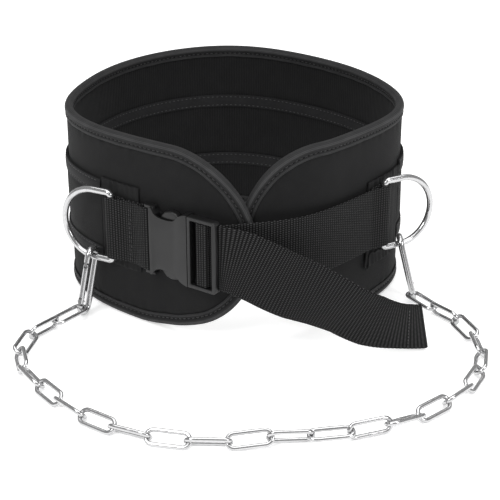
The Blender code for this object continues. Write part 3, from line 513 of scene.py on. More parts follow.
# Back sleeve. A flat tube of cloth sewn round the back of the belt for the strap to slide in, with a bound
# strip along its upper and lower edge. Inside, the same two strips are the channels of the seams.

SLEEVE_HALF = 0.0335
SLEEVE_THICK = 0.0011
STRIP_THICK = 0.0008
STRIP_WIDTH = 0.0112
STRIP_STITCH_IN = 0.0018
SKIN_GAP = 0.0003


def cloth_finish(name, dark, light, weave, roughness):
    """Plain weave: threads along and across, each a weave length wide, under a soft mottling."""
    finish = Finish(name, roughness, Sheen_Weight=0.03, Sheen_Roughness=0.5, Specular_IOR_Level=0.12)
    along, across = finish.cloth_place()
    threads = (along.wave(weave) * across.wave(weave)) * 0.5 + 0.5
    finish.paint(dark, light, threads * 0.3 + finish.noise(0.009, 3.0) * 0.7)
    finish.relief(threads + finish.noise(0.0014, 1.0) * 0.6, 0.00010)
    return finish


SLEEVE_FINISH = cloth_finish("sleeve_cloth", (0.0065, 0.0065, 0.0068), (0.0150, 0.0150, 0.0153), 0.95, 0.86)
STRIP_FINISH = tape_finish("sleeve_tape", 0.022)


def borders(count, size, edge):
    """Even stations over a size, with closer ones by both ends for a rounded edge."""
    near = edge * np.array([0, 0.06, 0.2, 0.45, 1.0])
    return np.concatenate([near, np.linspace(edge, size - edge, count)[1:-1], size - near[::-1]])


def belt_patch(name, runs, heights, inside, thick, puff, finish, slot, *nodes):
    """Flat piece on the belt with rounded edges: its back lies at inside, and its face at inside plus thick
    plus a puff worked out from (run, height, share along, share up) grids."""
    edge, length, rise = thick * 0.7, runs[1] - runs[0], heights[1] - heights[0]
    run = runs[0] + borders(max(int(length / 0.0016), 8), length, edge)
    up = heights[0] + borders(max(int(rise / 0.0011), 8), rise, edge)
    run, up = np.meshgrid(run, up, indexing="ij")
    distance = np.minimum(np.minimum(run - runs[0], runs[1] - run),
                          np.minimum(up - heights[0], heights[1] - up))
    lift = puff(run, up, (run - runs[0]) / length, (up - heights[0]) / rise)
    middle = inside + thick / 2
    close = rounded(distance, edge)
    face = on_belt(run, middle + close * thick / 2 + lift, MIDDLE + up)
    back = on_belt(run, middle - close * thick / 2 + np.minimum(lift, 0), MIDDLE + up)
    fit(make_piece(name, [face, back], finish, [columns(run, up)] * 2), slot, *nodes)


def sleeve_puff(run, up, along, rise):
    """The sleeve stands off a little in slow waves, and is drawn in under its strips."""
    free = ease((SLEEVE_HALF - STRIP_WIDTH - np.abs(up)) / 0.006)
    return free * (0.00025 + 0.0003 * wobble(run + 0.7 * up, 0.083, 0.6))


def strip_puff(run, up, along, rise):
    """Crowned between a stitch row near each edge, with small puckers by each row."""
    from_row = np.minimum(rise, 1 - rise) * STRIP_WIDTH - STRIP_STITCH_IN
    row = np.exp(-(from_row / 0.0007) ** 2)
    crown = 0.00030 * ease(from_row / 0.0025)
    pucker = wobble(run, 0.0064, 1.1) * np.exp(-np.abs(from_row) / 0.0015)
    return crown - 0.00028 * row + 0.00012 * pucker


def make_sleeve():
    """Sleeve, and for each edge of it a strip outside and a channel inside."""
    runs = (run_at(SLEEVE_TURNS[0]) + SKIN_GAP, run_at(SLEEVE_TURNS[1]) - SKIN_GAP)
    belt_patch("strap_sleeve", runs, (-SLEEVE_HALF, SLEEVE_HALF), SKIN_GAP, SLEEVE_THICK, sleeve_puff,
               SLEEVE_FINISH, "sleeve_cloth", "back_sleeve")
    for word, low in (("upper", SLEEVE_HALF - STRIP_WIDTH), ("lower", -SLEEVE_HALF)):
        heights = (low, low + STRIP_WIDTH)
        belt_patch("sleeve_tape_" + word, runs, heights, 2 * SKIN_GAP + SLEEVE_THICK, STRIP_THICK, strip_puff,
                   STRIP_FINISH, "edge_tape", "sleeve_strip_" + word)
        belt_patch("inner_channel_" + word, runs, heights, -PANEL_THICK - SKIN_GAP - STRIP_THICK, STRIP_THICK,
                   lambda *place: -strip_puff(*place), STRIP_FINISH, "edge_tape", "inner_tape_" + word)


make_sleeve()


# Ring patches. Doubled cloth sewn on behind each ring, gathered into upright wrinkles between its stitch rows
# and loose along its upper and lower edges.

PATCH_THICK = 0.0016
LEFT_PATCH = (212.0, 231.7, -0.033, 0.036)
RIGHT_PATCH = (-31.4, -8.0, -0.042, 0.030)
PATCH_WRINKLE = 0.00085
PATCH_ROWS = (0.10, 0.16, 0.84, 0.90)
PATCH_FINISH = cloth_finish("patch_cloth", (0.0060, 0.0060, 0.0063), (0.0170, 0.0170, 0.0173), 1.1, 0.84)


def gathered(run, up, along, rise):
    """Upright wrinkles strongest by the upper and lower edge, and grooves under two pairs of stitch rows."""
    edge = np.exp(-np.minimum(rise, 1 - rise) / 0.13)
    wrinkle = PATCH_WRINKLE * edge * wobble(run + 0.15 * up, 0.0056, 0.8)
    rows = sum(np.exp(-((along - row) / 0.018) ** 2) for row in PATCH_ROWS)
    return wrinkle + 0.0004 * edge - 0.00045 * rows


for side_word, (start_turn, end_turn, *patch_heights) in (("left", LEFT_PATCH), ("right", RIGHT_PATCH)):
    belt_patch("ring_patch_" + side_word, (run_at(start_turn), run_at(end_turn)), patch_heights, SKIN_GAP,
               PATCH_THICK, gathered, PATCH_FINISH, "sleeve_cloth", "patch_" + side_word)


# Straps. Black webbing 50 mm wide with raised ribs across it. The left one joins the left ring to the
# buckle's socket; the right one runs from the right ring round the buckle's ladder, and its free end falls.

WEB_WIDTH = 0.050
WEB_THICK = 0.0016
RIB_PITCH = 0.0022
RIB_HEIGHT = 0.00038
RING_WIRE = 0.0050
LEFT_RING_TURN = 219.4
RIGHT_RING_TURN = -23.5
FOLD_EASE = 0.017
INNER_PLY = 2 * SKIN_GAP + PATCH_THICK + WEB_THICK / 2
OUTER_PLY = INNER_PLY + WEB_THICK + SKIN_GAP
FOLD_RADIUS = RING_WIRE / 2 + SKIN_GAP + WEB_THICK / 2
BAR_OUT = INNER_PLY + FOLD_RADIUS
LANDING_TURN = -66.0
SOCKET_LENGTH = 0.0355
BUCKLE_THICK = 0.0088
STRAP_BAR_RADIUS = 0.0019
STRAP_BAR = (-(2 * SKIN_GAP + WEB_THICK + STRAP_BAR_RADIUS), BUCKLE_THICK / 2)
LADDER_START = SOCKET_LENGTH + 0.0004
FIRST_SLOT = LADDER_START + 0.0026
CENTRE_BAR = FIRST_SLOT + 0.0062
SECOND_SLOT = CENTRE_BAR + 0.0075
END_BAR = SECOND_SLOT + 0.0062
LADDER_END = END_BAR + 0.0037
CENTRE_BAR_DEPTH = 0.0024
END_BAR_THICK = 0.0038
TAIL_PLY = END_BAR_THICK + SKIN_GAP + WEB_THICK / 2
STANDING_PLY = TAIL_PLY + WEB_THICK + SKIN_GAP
AWAY_RADIUS = 0.0085
THREAD_BEND = 0.0013
TAIL_LENGTH = 0.162
TAIL_FALL = 1.0088
TAIL_ROWS = np.array((
    (0.000, 33.0, 0.0, 0.0), (0.050, 4.0, 12.0, -2.0), (0.125, 7.0, 22.0, -4.0), (0.250, 5.0, 27.0, -5.0),
    (0.375, -0.5, 22.0, -2.0), (0.500, 0.0, 25.0, 9.0), (0.625, 2.5, 28.0, 16.0), (0.750, 0.0, 20.0, 15.0),
    (0.875, 2.0, 4.0, 22.0), (1.000, 12.0, -8.0, 25.0)))
HEM = 0.0135
HEM_DROP = 0.0018
UP = np.array([0.0, 0.0, 1.0])

BUCKLE_START = on_belt(run_at(239.5), 0.0093, MIDDLE)
BUCKLE_ALONG = on_belt(run_at(265.7), 0.0163, MIDDLE) - BUCKLE_START
BUCKLE_ALONG = BUCKLE_ALONG / np.linalg.norm(BUCKLE_ALONG)
BUCKLE_INWARD = np.cross(UP, BUCKLE_ALONG)


def in_buckle(points):
    """Places of (along, depth) points of the buckle at its middle height."""
    points = np.asarray(points, dtype=float)
    return BUCKLE_START + points[:, :1] * BUCKLE_ALONG + points[:, 1:] * BUCKLE_INWARD


def arc(centre, radius, start, end, steps=16):
    """Points of an arc in a plane, from one angle in degrees to another."""
    angle = np.radians(np.linspace(start, end, steps + 1))
    return np.asarray(centre) + radius * columns(np.cos(angle), np.sin(angle))


def bridge(start, start_along, end, end_along, pull=1.0, steps=40):
    """Cubic between two places that leaves and arrives along given directions."""
    share = np.linspace(0, 1, steps + 2)[1:-1, None]
    reach = np.linalg.norm(end - start) * pull
    return cubic(share, start, start_along * reach, end, end_along * reach)


def round_ring(turn, side):
    """Strap from its outer ply round a ring's bar to its inner ply."""
    bar = (run_at(turn), BAR_OUT)
    share = np.linspace(1, 0, 24)
    rise = OUTER_PLY + (BAR_OUT + FOLD_RADIUS - OUTER_PLY) * ease(1 - share)
    slope = columns(bar[0] + side * FOLD_EASE * share, rise)
    path = np.concatenate([slope[:-1], arc(bar, FOLD_RADIUS, 90, 90 + side * 180)])
    return on_belt(*path.T, MIDDLE)


def webbing_finish():
    """Ribs across the strap, each a row of yarn knots; painted highlight on the knots along each crest,
    painted shade between the ribs.
    """
    finish = Finish("webbing", 0.62, Sheen_Weight=0.015, Sheen_Roughness=0.4, Specular_IOR_Level=0.09)
    along, across = finish.cloth_place()
    row = along.wave(2 * RIB_PITCH * 1000)
    ribs = abs(row)
    knots = across.wave(1.45) * 0.5 + 0.5
    offset = (across + (row > 0.0) * 0.72).wave(1.45) * 0.5 + 0.5
    yarn = finish.noise(0.0009, 2.0)
    # Painted highlight and shade: the colour is lightest at the knots on each rib's crest and darkest between
    # the ribs; the staggered knot pattern itself is the webbing's weave.
    share = ribs ** 2.5 * (offset ** 3.0 * 0.85 + 0.05) + yarn * 0.06 + knots * 0.02 - 0.03
    finish.paint((0.0012, 0.0012, 0.0013), (0.078, 0.078, 0.079), share)
    finish.relief(ribs * 0.4 + offset * 0.6 + yarn * 0.5, 0.00022)
    return finish


WEBBING = webbing_finish()


def ribbed_strap(name, path, across, *nodes):
    """Webbing along a path, resampled evenly and softened by means of neighbours: each face stands half the
    thickness off it, raised by ribs worked out from the length, half a rib apart on the two faces. Its edges
    are rounded and scalloped by the same ribs."""
    both, length = even_row(np.concatenate([path, across], axis=1), RIB_PITCH / 6)
    for _ in range(6):
        both[1:-1] = (both[:-2] + 2 * both[1:-1] + both[2:]) / 4
    path, across = both[:, :3], unit(both[:, 3:])
    half_width, edge = WEB_WIDTH / 2, 0.0009
    row = -half_width + borders(17, WEB_WIDTH, edge)
    normal = unit(np.cross(np.gradient(path, axis=0), across))
    front = np.sqrt(np.abs(np.sin(np.pi * length / RIB_PITCH)))
    back = np.sqrt(np.abs(np.cos(np.pi * length / RIB_PITCH)))
    close = np.minimum(rounded(half_width - np.abs(row), edge)[None],
                       rounded(np.minimum(length, length[-1] - length), 0.0008)[:, None])
    width = row[None] * (1 - 0.008 * (1 - front[:, None]))
    middle = path[:, None] + width[..., None] * across[:, None]
    thick = WEB_THICK / 2 - 0.00030
    faces = []
    for side, rib in ((1, front), (-1, back)):
        stand = close * (thick + RIB_HEIGHT * rib[:, None])
        face = middle + side * stand[..., None] * normal[:, None]
        face[..., 2] = np.maximum(face[..., 2], 0.00002)
        faces.append(face)
    fit(make_piece(name, faces, WEBBING, [columns(length[:, None], row)] * 2), "webbing", *nodes)


def make_left_strap():
    """Inner ply on the patch, bridge to the socket's bar and round it, bridge back, round the ring."""
    patch_end = run_at(LEFT_PATCH[1])
    middle_run = (patch_end + run_at(LEFT_RING_TURN)) / 2
    round_bar = in_buckle(arc(STRAP_BAR, STRAP_BAR_RADIUS + SKIN_GAP + WEB_THICK / 2, 90, -90))
    inner = on_belt(np.linspace(middle_run + 0.0006, patch_end - 0.001, 12), INNER_PLY, MIDDLE)
    outer = on_belt([patch_end - 0.003], OUTER_PLY, MIDDLE)
    ahead = unit(inner[-1] - inner[0])
    path = np.concatenate([
        inner, bridge(inner[-1], ahead, round_bar[0], BUCKLE_ALONG), round_bar,
        bridge(round_bar[-1], -BUCKLE_ALONG, outer[0], -ahead), outer,
        round_ring(LEFT_RING_TURN, 1), on_belt([middle_run - 0.0006], INNER_PLY, MIDDLE)])
    ribbed_strap("buckle_strap", path, np.broadcast_to(UP, path.shape), "strap_left")


def make_right_strap():
    """From the patch round the ring, along the belt, over the lap, behind and round the ladder's middle bar
    and over its end bar, then the free end by its table of headings, falls and leans, and its hem turned
    under."""
    inner = on_belt([run_at(RIGHT_PATCH[0]) + 0.002], INNER_PLY, MIDDLE)
    runs = np.linspace(run_at(RIGHT_RING_TURN) - FOLD_EASE, run_at(LANDING_TURN), 60)[1:]
    standing = on_belt(runs, OUTER_PLY, MIDDLE)
    away = in_buckle(arc((LADDER_END - 0.0037, STANDING_PLY + AWAY_RADIUS), AWAY_RADIUS, -40, -90))
    lap = bridge(standing[-1], unit(standing[-1] - standing[-2]), away[0], unit(away[1] - away[0]), 0.9, 60)
    corner, soft = WEB_THICK / 2 + SKIN_GAP, THREAD_BEND
    left, right, over = CENTRE_BAR - corner, SECOND_SLOT + corner, CENTRE_BAR_DEPTH - corner
    bends = (((left + soft, STANDING_PLY - soft), 90, 180), ((left + soft, over + soft), 180, 270),
             ((right - soft, over + soft), 270, 360), ((right + soft, TAIL_PLY - soft), 180, 90))
    threading = in_buckle(np.concatenate([arc(centre, soft, start, end, 8) for centre, start, end in bends]))
    share = np.linspace(0, 1, 160)
    heading, drop, lean = (np.radians(np.interp(share, TAIL_ROWS[:, 0], row)) for row in TAIL_ROWS.T[1:])
    drop = drop * TAIL_FALL
    ahead = columns(np.cos(drop) * np.cos(heading), -np.cos(drop) * np.sin(heading), -np.sin(drop))
    steps = (ahead[1:] + ahead[:-1]) / 2 * TAIL_LENGTH / (len(share) - 1)
    tail = in_buckle([(LADDER_END, TAIL_PLY)]) + np.concatenate([np.zeros((1, 3)), np.cumsum(steps, axis=0)])
    upright = unit(UP - ahead * ahead[:, 2:])
    across = upright * np.cos(lean)[:, None] + np.cross(ahead, upright) * np.sin(lean)[:, None]
    flat = np.concatenate([inner, round_ring(RIGHT_RING_TURN, -1)[::-1], standing, lap, away, threading])
    tail, across, ahead = tail[:-2], across[:-2], ahead[:-2]
    normal = unit(np.cross(ahead, across))
    turn, gap = np.radians(np.linspace(15, 180, 12))[:, None], WEB_THICK / 2 + 0.0001
    fold = tail[-1] + gap * ((np.cos(turn) - 1) * normal[-1] + np.sin(turn) * ahead[-1])
    count = int(HEM / TAIL_LENGTH * len(share))
    under = (tail - 2 * gap * normal - HEM_DROP * across)[-2:-count:-1]
    sideways = [np.broadcast_to(UP, flat.shape), across, np.broadcast_to(across[-1], fold.shape),
                across[-2:-count:-1]]
    ribbed_strap("tail_strap", np.concatenate([flat, tail, fold, under]), np.concatenate(sideways),
                 "strap_right")
    return tail[2 - count] + WEB_THICK / 2 * normal[2 - count], across[2 - count], normal[2 - count]


make_left_strap()
HEM_ROW = make_right_strap()


# D-rings. Round steel wire bent to a D, welded in the straight bar that the strap hides, and bright plated.
# The fold of each strap holds its ring by that bar.

RING_HALF = WEB_WIDTH / 2 + 0.0004 + RING_WIRE / 2
RING_LEG = 0.0435 - RING_HALF
RING_CORNER = 0.0029
LEFT_RING_HEADING = 151.0
RIGHT_RING_HEADING = 28.0


def steel_finish():
    """Bright plating: smooth metal with faint cloudy haze and a few fine rubbed marks."""
    finish = Finish("plated_steel", 0.15, Metallic=0.88)
    haze = finish.noise(0.006, 3.0)
    rubbed = finish.noise(0.0025, 4.0, (1.0, 1.0, 0.25)).band(0.56, 0.74)
    finish.paint((0.54, 0.54, 0.545), (0.42, 0.42, 0.425), haze * 0.6 + rubbed * 0.5)
    finish.feed(finish.shader.inputs["Roughness"], haze * 0.10 + rubbed * 0.08 + 0.10)
    finish.relief(haze + rubbed * 0.4, 0.00002)
    return finish


STEEL = steel_finish()


def tube(path, plane, radius, sides, closed):
    """Round wire along a path that lies in a plane: a circle at each station, square to the path. radius is
    one number or one for each station. An open end is closed by a last circle of no size."""
    ahead = np.roll(path, -1, axis=0) - np.roll(path, 1, axis=0) if closed else np.gradient(path, axis=0)
    side = unit(np.cross(ahead, plane))
    angle = np.linspace(0, 2 * np.pi, sides + 1)[:, None]
    radius = np.broadcast_to(radius, (len(path),))[:, None, None]
    points = path[:, None] + radius * (np.cos(angle) * side[:, None] + np.sin(angle) * np.asarray(plane))
    return np.concatenate([points, points[:1]]) if closed else points


def flat_path(points, place):
    """Points in the x-y plane of a place, a 3 by 4 array with its three axes and its origin as columns."""
    return place[:, 3] + points[:, :1] * place[:, 0] + points[:, 1:2] * place[:, 1]


def frame_axes(x_axis, y_axis, origin):
    """Three square axes and an origin as the columns of an array."""
    return columns(x_axis, y_axis, np.cross(x_axis, y_axis), origin)


def make_ring(word, turn, heading):
    """Closed path: the bow, two straight legs and two tight corners at the bar."""
    angle = np.radians(heading)
    x_axis = np.array([np.cos(angle), np.sin(angle), 0.0])
    place = frame_axes(x_axis, UP, on_belt(run_at(turn), BAR_OUT, MIDDLE))
    bar = np.linspace(RING_HALF - RING_CORNER, RING_CORNER - RING_HALF, 16)[1:-1]
    leg = np.linspace(RING_CORNER, RING_LEG, 7)[1:-1]
    path = np.concatenate([
        arc((RING_CORNER, RING_CORNER - RING_HALF), RING_CORNER, 180, 270, 10), columns(leg, -RING_HALF),
        arc((RING_LEG, 0.0), RING_HALF, -90, 90, 60), columns(leg[::-1], RING_HALF),
        arc((RING_CORNER, RING_HALF - RING_CORNER), RING_CORNER, 90, 180, 10), columns(0.0, bar)])
    grid = tube(flat_path(path, place), place[:, 2], RING_WIRE / 2, 20, True)
    fit(make_piece("d_ring_" + word, [grid], STEEL), "plated_steel", "ring_" + word)


make_ring("left", LEFT_RING_TURN, LEFT_RING_HEADING)
make_ring("right", RIGHT_RING_TURN, RIGHT_RING_HEADING)


# Snap hooks. Wire bent to a long loop whose nose ends in a flat tongue; a sprung gate, slotted at both ends,
# turns on a rivet through the loop's other end and shuts over the tongue.

HOOK_WIRE = 0.0050
HOOK_HALF = 0.0260
HOOK_SIDE = 0.0065
HOOK_BEND = HOOK_HALF - HOOK_SIDE
GATE_PIN_Y = -HOOK_BEND + 0.0035
NOSE_Y = HOOK_BEND - 0.0045
GATE_RADIUS = 0.0023
GATE_LENGTH = NOSE_Y - GATE_PIN_Y - 0.0009
GATE_END = 0.0026
TANG_THICK = 0.0020
TANG_WIDTH = 0.0038
PIN_RADIUS = 0.0009
PIN_REACH = GATE_RADIUS + 0.00055
RIVET_HEAD = 0.00155
NOSE_TONGUE = 0.0035
NOSE_SLOT = 0.0034
STEEL_SHARP = 40.0
CUT_PAST = 0.001


def node_axes(node):
    """Middle of a CAD node, its main directions, longest first, from the spread of its vertices, and how far
    it reaches along each."""
    points = np.array([vertex.co for vertex in frame["nodes"][node].data.vertices])
    points = np.unique(np.round(points, 6), axis=0)
    middle = (points.max(axis=0) + points.min(axis=0)) / 2
    directions = np.linalg.eigh(np.cov(points.T))[1][:, ::-1].T
    for _ in range(2):
        reach = (points - middle) @ directions.T
        middle = middle + ((reach.max(axis=0) + reach.min(axis=0)) / 2) @ directions
    return middle, directions, reach.max(axis=0)


def solid(name, points, faces, place, finish):
    """Closed object from points in a place's axes."""
    mesh = bpy.data.meshes.new(name)
    mesh.from_pydata((place[:, 3] + points @ place[:, :3].T).tolist(), [], faces)
    close_mesh(mesh)
    return add_object(name, mesh, finish)


def block(name, low, high, place):
    """Steel box between two corners given in a place's axes."""
    xs, ys, zs = zip(low, high)
    corners = np.array([[x, y, z] for x in xs for y in ys for z in zs])
    faces = [(0, 1, 3, 2), (4, 6, 7, 5), (0, 4, 5, 1), (2, 3, 7, 6), (0, 2, 6, 4), (1, 5, 7, 3)]
    return solid(name, corners, faces, place, STEEL)


def combined(piece, tools, bevel, angle):
    """The piece after each tool is cut out of it or joined to it, its sharp edges rounded; the tools go."""
    for tool, operation in tools:
        step = piece.modifiers.new(tool.name, "BOOLEAN")
        step.operation, step.solver, step.object = operation, "EXACT", tool
    if bevel:
        step = piece.modifiers.new("rounding", "BEVEL")
        step.width, step.segments, step.limit_method, step.angle_limit = bevel, 3, "ANGLE", np.radians(angle)
        step.use_clamp_overlap = True
    bpy.context.view_layer.update()
    mesh = bpy.data.meshes.new_from_object(piece.evaluated_get(bpy.context.evaluated_depsgraph_get()))
    piece.modifiers.clear()
    piece.data = mesh
    for tool, _ in tools:
        bpy.data.objects.remove(tool, do_unlink=True)
    mesh.shade_smooth()
    mesh.set_sharp_from_angle(angle=np.radians(angle))
    return piece


def domed(length, low, radius, crown):
    """Stations and radii of a rod with a dome at each end, a quarter circle over the crown's length."""
    angle = np.radians(np.linspace(0, 90, 6))
    rise, fall = np.sin(angle), np.cos(angle)
    along = np.concatenate([low + crown * (1 - fall), np.linspace(low + crown, length - crown, 8)[1:-1],
                            length - crown + crown * rise])
    return along, radius * np.concatenate([rise, np.ones(6), fall])


def make_hook(word):
    """Loop, gate and rivet; the gate's own axes and its hinge give their place."""
    joint = next(joint for joint in frame["joints"] if joint["name"] == "gate_%s_hinge" % word)
    pivot, hinge = np.array(joint["pos_m"]), unit(np.array(joint["axis"]))
    middle, directions, _ = node_axes("gate_" + word)
    up = directions[0] * np.sign(directions[0] @ (middle - pivot))
    up = unit(up - hinge * (up @ hinge))
    place = frame_axes(np.cross(up, hinge), up, pivot)
    centre = frame_axes(place[:, 0], up, pivot - place[:, 0] * HOOK_SIDE - up * GATE_PIN_Y)
    nose = np.linspace(NOSE_Y, HOOK_BEND, 5)[:-1]
    limb = np.linspace(HOOK_BEND, -HOOK_BEND, 14)[1:-1]
    path = np.concatenate([
        columns(HOOK_SIDE, nose), arc((0, HOOK_BEND), HOOK_SIDE, 0, 180, 24),
        columns(-HOOK_SIDE, limb), arc((0, -HOOK_BEND), HOOK_SIDE, 180, 360, 24)])
    first, last = path[:1] * 1.0001 - path[1:2] * 0.0001, path[-1:] * 1.0001 - path[-2:-1] * 0.0001
    path = np.concatenate([first, path, last])
    radii = np.full(len(path), HOOK_WIRE / 2)
    radii[[0, -1]] = 0.0
    loop = tube(flat_path(path, centre), centre[:, 2], radii, 20, False)
    left, right, half = HOOK_SIDE - TANG_WIDTH / 2, HOOK_SIDE + TANG_WIDTH / 2, TANG_THICK / 2
    tongues = [(block(end + "_tongue", (left, low, -half), (right, high, half), centre), "UNION")
               for end, low, high in (("foot", -HOOK_BEND - CUT_PAST, GATE_PIN_Y + TANG_WIDTH / 2),
                                      ("nose", NOSE_Y - NOSE_TONGUE, NOSE_Y + CUT_PAST))]
    hook = combined(make_piece("snap_hook_" + word, [loop], STEEL), tongues, 0.0, STEEL_SHARP)
    fit(hook, "plated_steel", "hook_" + word)
    along, radii = domed(PIN_REACH, -PIN_REACH, RIVET_HEAD, 0.0009)
    radii = np.where(np.abs(along) > GATE_RADIUS - 0.0001, radii, PIN_RADIUS)
    rivet = tube(pivot + along[:, None] * hinge, up, radii, 16, False)
    fit(make_piece("hook_rivet_" + word, [rivet], STEEL), "plated_steel")
    along, radii = domed(GATE_LENGTH, -GATE_END, GATE_RADIUS, 0.0012)
    collar = 1 + 0.16 * np.exp(-((along - GATE_LENGTH + 0.0042) / 0.0008) ** 2)
    rod = tube(pivot + along[:, None] * up, hinge, radii * collar, 20, False)
    gate = make_piece("snap_gate_" + word, [rod], STEEL)
    wide, gap = GATE_RADIUS + CUT_PAST, TANG_THICK / 2 + SKIN_GAP
    slots = [(block(end + "_slot", (-wide, low, -gap), (wide, high, gap), place), "DIFFERENCE")
             for end, low, high in (("foot", -GATE_END - CUT_PAST, TANG_WIDTH / 2 + CUT_PAST),
                                    ("nose", GATE_LENGTH - NOSE_SLOT, GATE_LENGTH + CUT_PAST))]
    fit(combined(gate, slots, 0.0, STEEL_SHARP), "plated_steel", "gate_" + word, body="gate_" + word)


make_hook("left")
make_hook("right")


# Chain. Oval links of round wire, each welded shut on one straight side and passed through its neighbours,
# laid on the surface in a loose bow from hook to hook.

LINK_COUNT = 24
LINK_WIRE = 0.0032
LINK_WIDTH = 0.0130
WELD_SWELL = 0.07


def make_link(number):
    """Closed path of two half circles and two straights, swollen a little at the weld."""
    name = "link_%02d" % number
    middle, directions, reach = node_axes(name)
    place = frame_axes(directions[0], directions[1], middle)
    bend = (LINK_WIDTH - LINK_WIRE) / 2
    straight = reach[0] - LINK_WIRE / 2 - bend
    side = np.linspace(-straight, straight, 13)[1:-1]
    path = np.concatenate([
        arc((straight, 0), bend, -90, 90, 14), columns(side[::-1], bend),
        arc((-straight, 0), bend, 90, 270, 14), columns(side, -bend)])
    weld = np.exp(-(path[:, 0] / 0.0011) ** 2) * (path[:, 1] * (-1) ** number > bend * 0.9)
    grid = tube(flat_path(path, place), place[:, 2], LINK_WIRE / 2 * (1 + WELD_SWELL * weld), 14, True)
    fit(make_piece("chain_" + name, [grid], STEEL), "plated_steel", name)


for link_number in range(1, LINK_COUNT + 1):
    make_link(link_number)


# Side-release buckle, moulded in two halves. The socket holds the left strap on its bar; the plug's two
# sprung arms show as buttons in the socket's finger scoops, and the right strap goes through its ladder.

HALF_HEIGHT = 0.0284
SLOT_HALF = 0.0254
POCKET_START = 0.0055
BUCKLE_WALL = 0.0016
RAIL_DEPTH = 0.0064
HORN_ROUND = 0.0006
HORN_WIDTH = 0.0021
HORN_ROOT = 0.0035
PLASTIC_SHARP = 50.0
LADDER_CORNER = 0.0022
LADDER_BOW = 0.0006
SOCKET_ROWS = np.array((
    (0.00, 0.940), (0.03, 0.955), (0.07, 0.930), (0.11, 0.845), (0.16, 0.785), (0.25, 0.738), (0.40, 0.715),
    (0.55, 0.722), (0.66, 0.755), (0.73, 0.830), (0.80, 0.910), (0.88, 0.962), (0.95, 0.988), (1.00, 0.995)))
ARM_ROWS = np.array((
    (1.02, 0.885), (0.79, 0.885), (0.74, 0.850), (0.68, 0.930), (0.55, 0.960), (0.40, 0.915), (0.31, 0.790),
    (0.29, 0.710), (0.37, 0.660), (0.66, 0.700), (0.93, 0.640), (0.99, 0.520), (0.99, 0.140), (0.40, 0.110),
    (0.34, 0.060)))
BUCKLE_PLACE = frame_axes(BUCKLE_ALONG, BUCKLE_INWARD, BUCKLE_START)


def plastic_finish():
    """Moulded nylon: fine spark-eroded grain, rubbed a little smoother and lighter here and there."""
    finish = Finish("buckle_plastic", 0.5, Specular_IOR_Level=0.36)
    grain = finish.noise(0.00035, 2.0)
    rubbed = finish.noise(0.008, 3.0)
    finish.paint((0.0055, 0.0055, 0.0058), (0.0098, 0.0098, 0.0101), rubbed * 0.5 + grain * 0.5)
    finish.feed(finish.shader.inputs["Roughness"], 0.46 - rubbed * 0.16)
    finish.relief(grain, 0.00002)
    return finish


PLASTIC = plastic_finish()


def slab(name, outline, low, high, axis):
    """An outline carried straight from low to high: (along, height) points through the depth when axis is 1,
    or (along, depth) points through the height when it is 2."""
    outline = np.asarray(outline, dtype=float)
    count = len(outline)
    points = np.zeros((2, count, 3))
    points[:, :, 0], points[:, :, 3 - axis] = outline.T
    points[0, :, axis], points[1, :, axis] = low, high
    near = np.arange(count)
    after = (near + 1) % count
    sides = columns(near, after, after + count, near + count).tolist()
    faces = [near.tolist(), (near + count).tolist()] + sides
    return solid(name, points.reshape(-1, 3), faces, BUCKLE_PLACE, PLASTIC)


def rectangle(left, right, low, high):
    """Four corners of a rectangle."""
    return ((left, low), (right, low), (right, high), (left, high))


def both_halves(upper):
    """Closed outline from its upper half and the mirror of it."""
    return np.concatenate([upper, upper[::-1] * (1, -1)])


def smooth_rows(rows, steps):
    """More points on a smooth curve through a table of points."""
    return spline(rows, np.linspace(0, len(rows) - 1, steps))


def make_socket():
    """Body with its scoops, less the pocket, with two horns and the strap's bar across them."""
    upper = smooth_rows(SOCKET_ROWS, 60) * (SOCKET_LENGTH, HALF_HEIGHT)
    socket = slab("buckle_socket_body", both_halves(upper), 0.0, BUCKLE_THICK, 1)
    pocket = rectangle(POCKET_START, SOCKET_LENGTH + CUT_PAST, BUCKLE_WALL, BUCKLE_THICK - BUCKLE_WALL)
    tools = [(slab("pocket", pocket, -SLOT_HALF - SKIN_GAP, SLOT_HALF + SKIN_GAP, 2), "DIFFERENCE")]
    horn = STRAP_BAR_RADIUS + HORN_ROUND
    root = ((HORN_ROOT, STRAP_BAR[1] - horn), (HORN_ROOT, STRAP_BAR[1] + horn))
    outline = np.concatenate([arc(STRAP_BAR, horn, 90, 270, 12), root])
    for side in (1, -1):
        ends = sorted((side * SLOT_HALF, side * (SLOT_HALF + HORN_WIDTH)))
        tools.append((slab("horn", outline, *ends, 2), "UNION"))
    bar = arc(STRAP_BAR, STRAP_BAR_RADIUS, 0, 345, 23)
    tools.append((slab("bar", bar, -SLOT_HALF - CUT_PAST, SLOT_HALF + CUT_PAST, 2), "UNION"))
    fit(combined(socket, tools, 0.0006, PLASTIC_SHARP), "buckle_plastic", "buckle_socket")


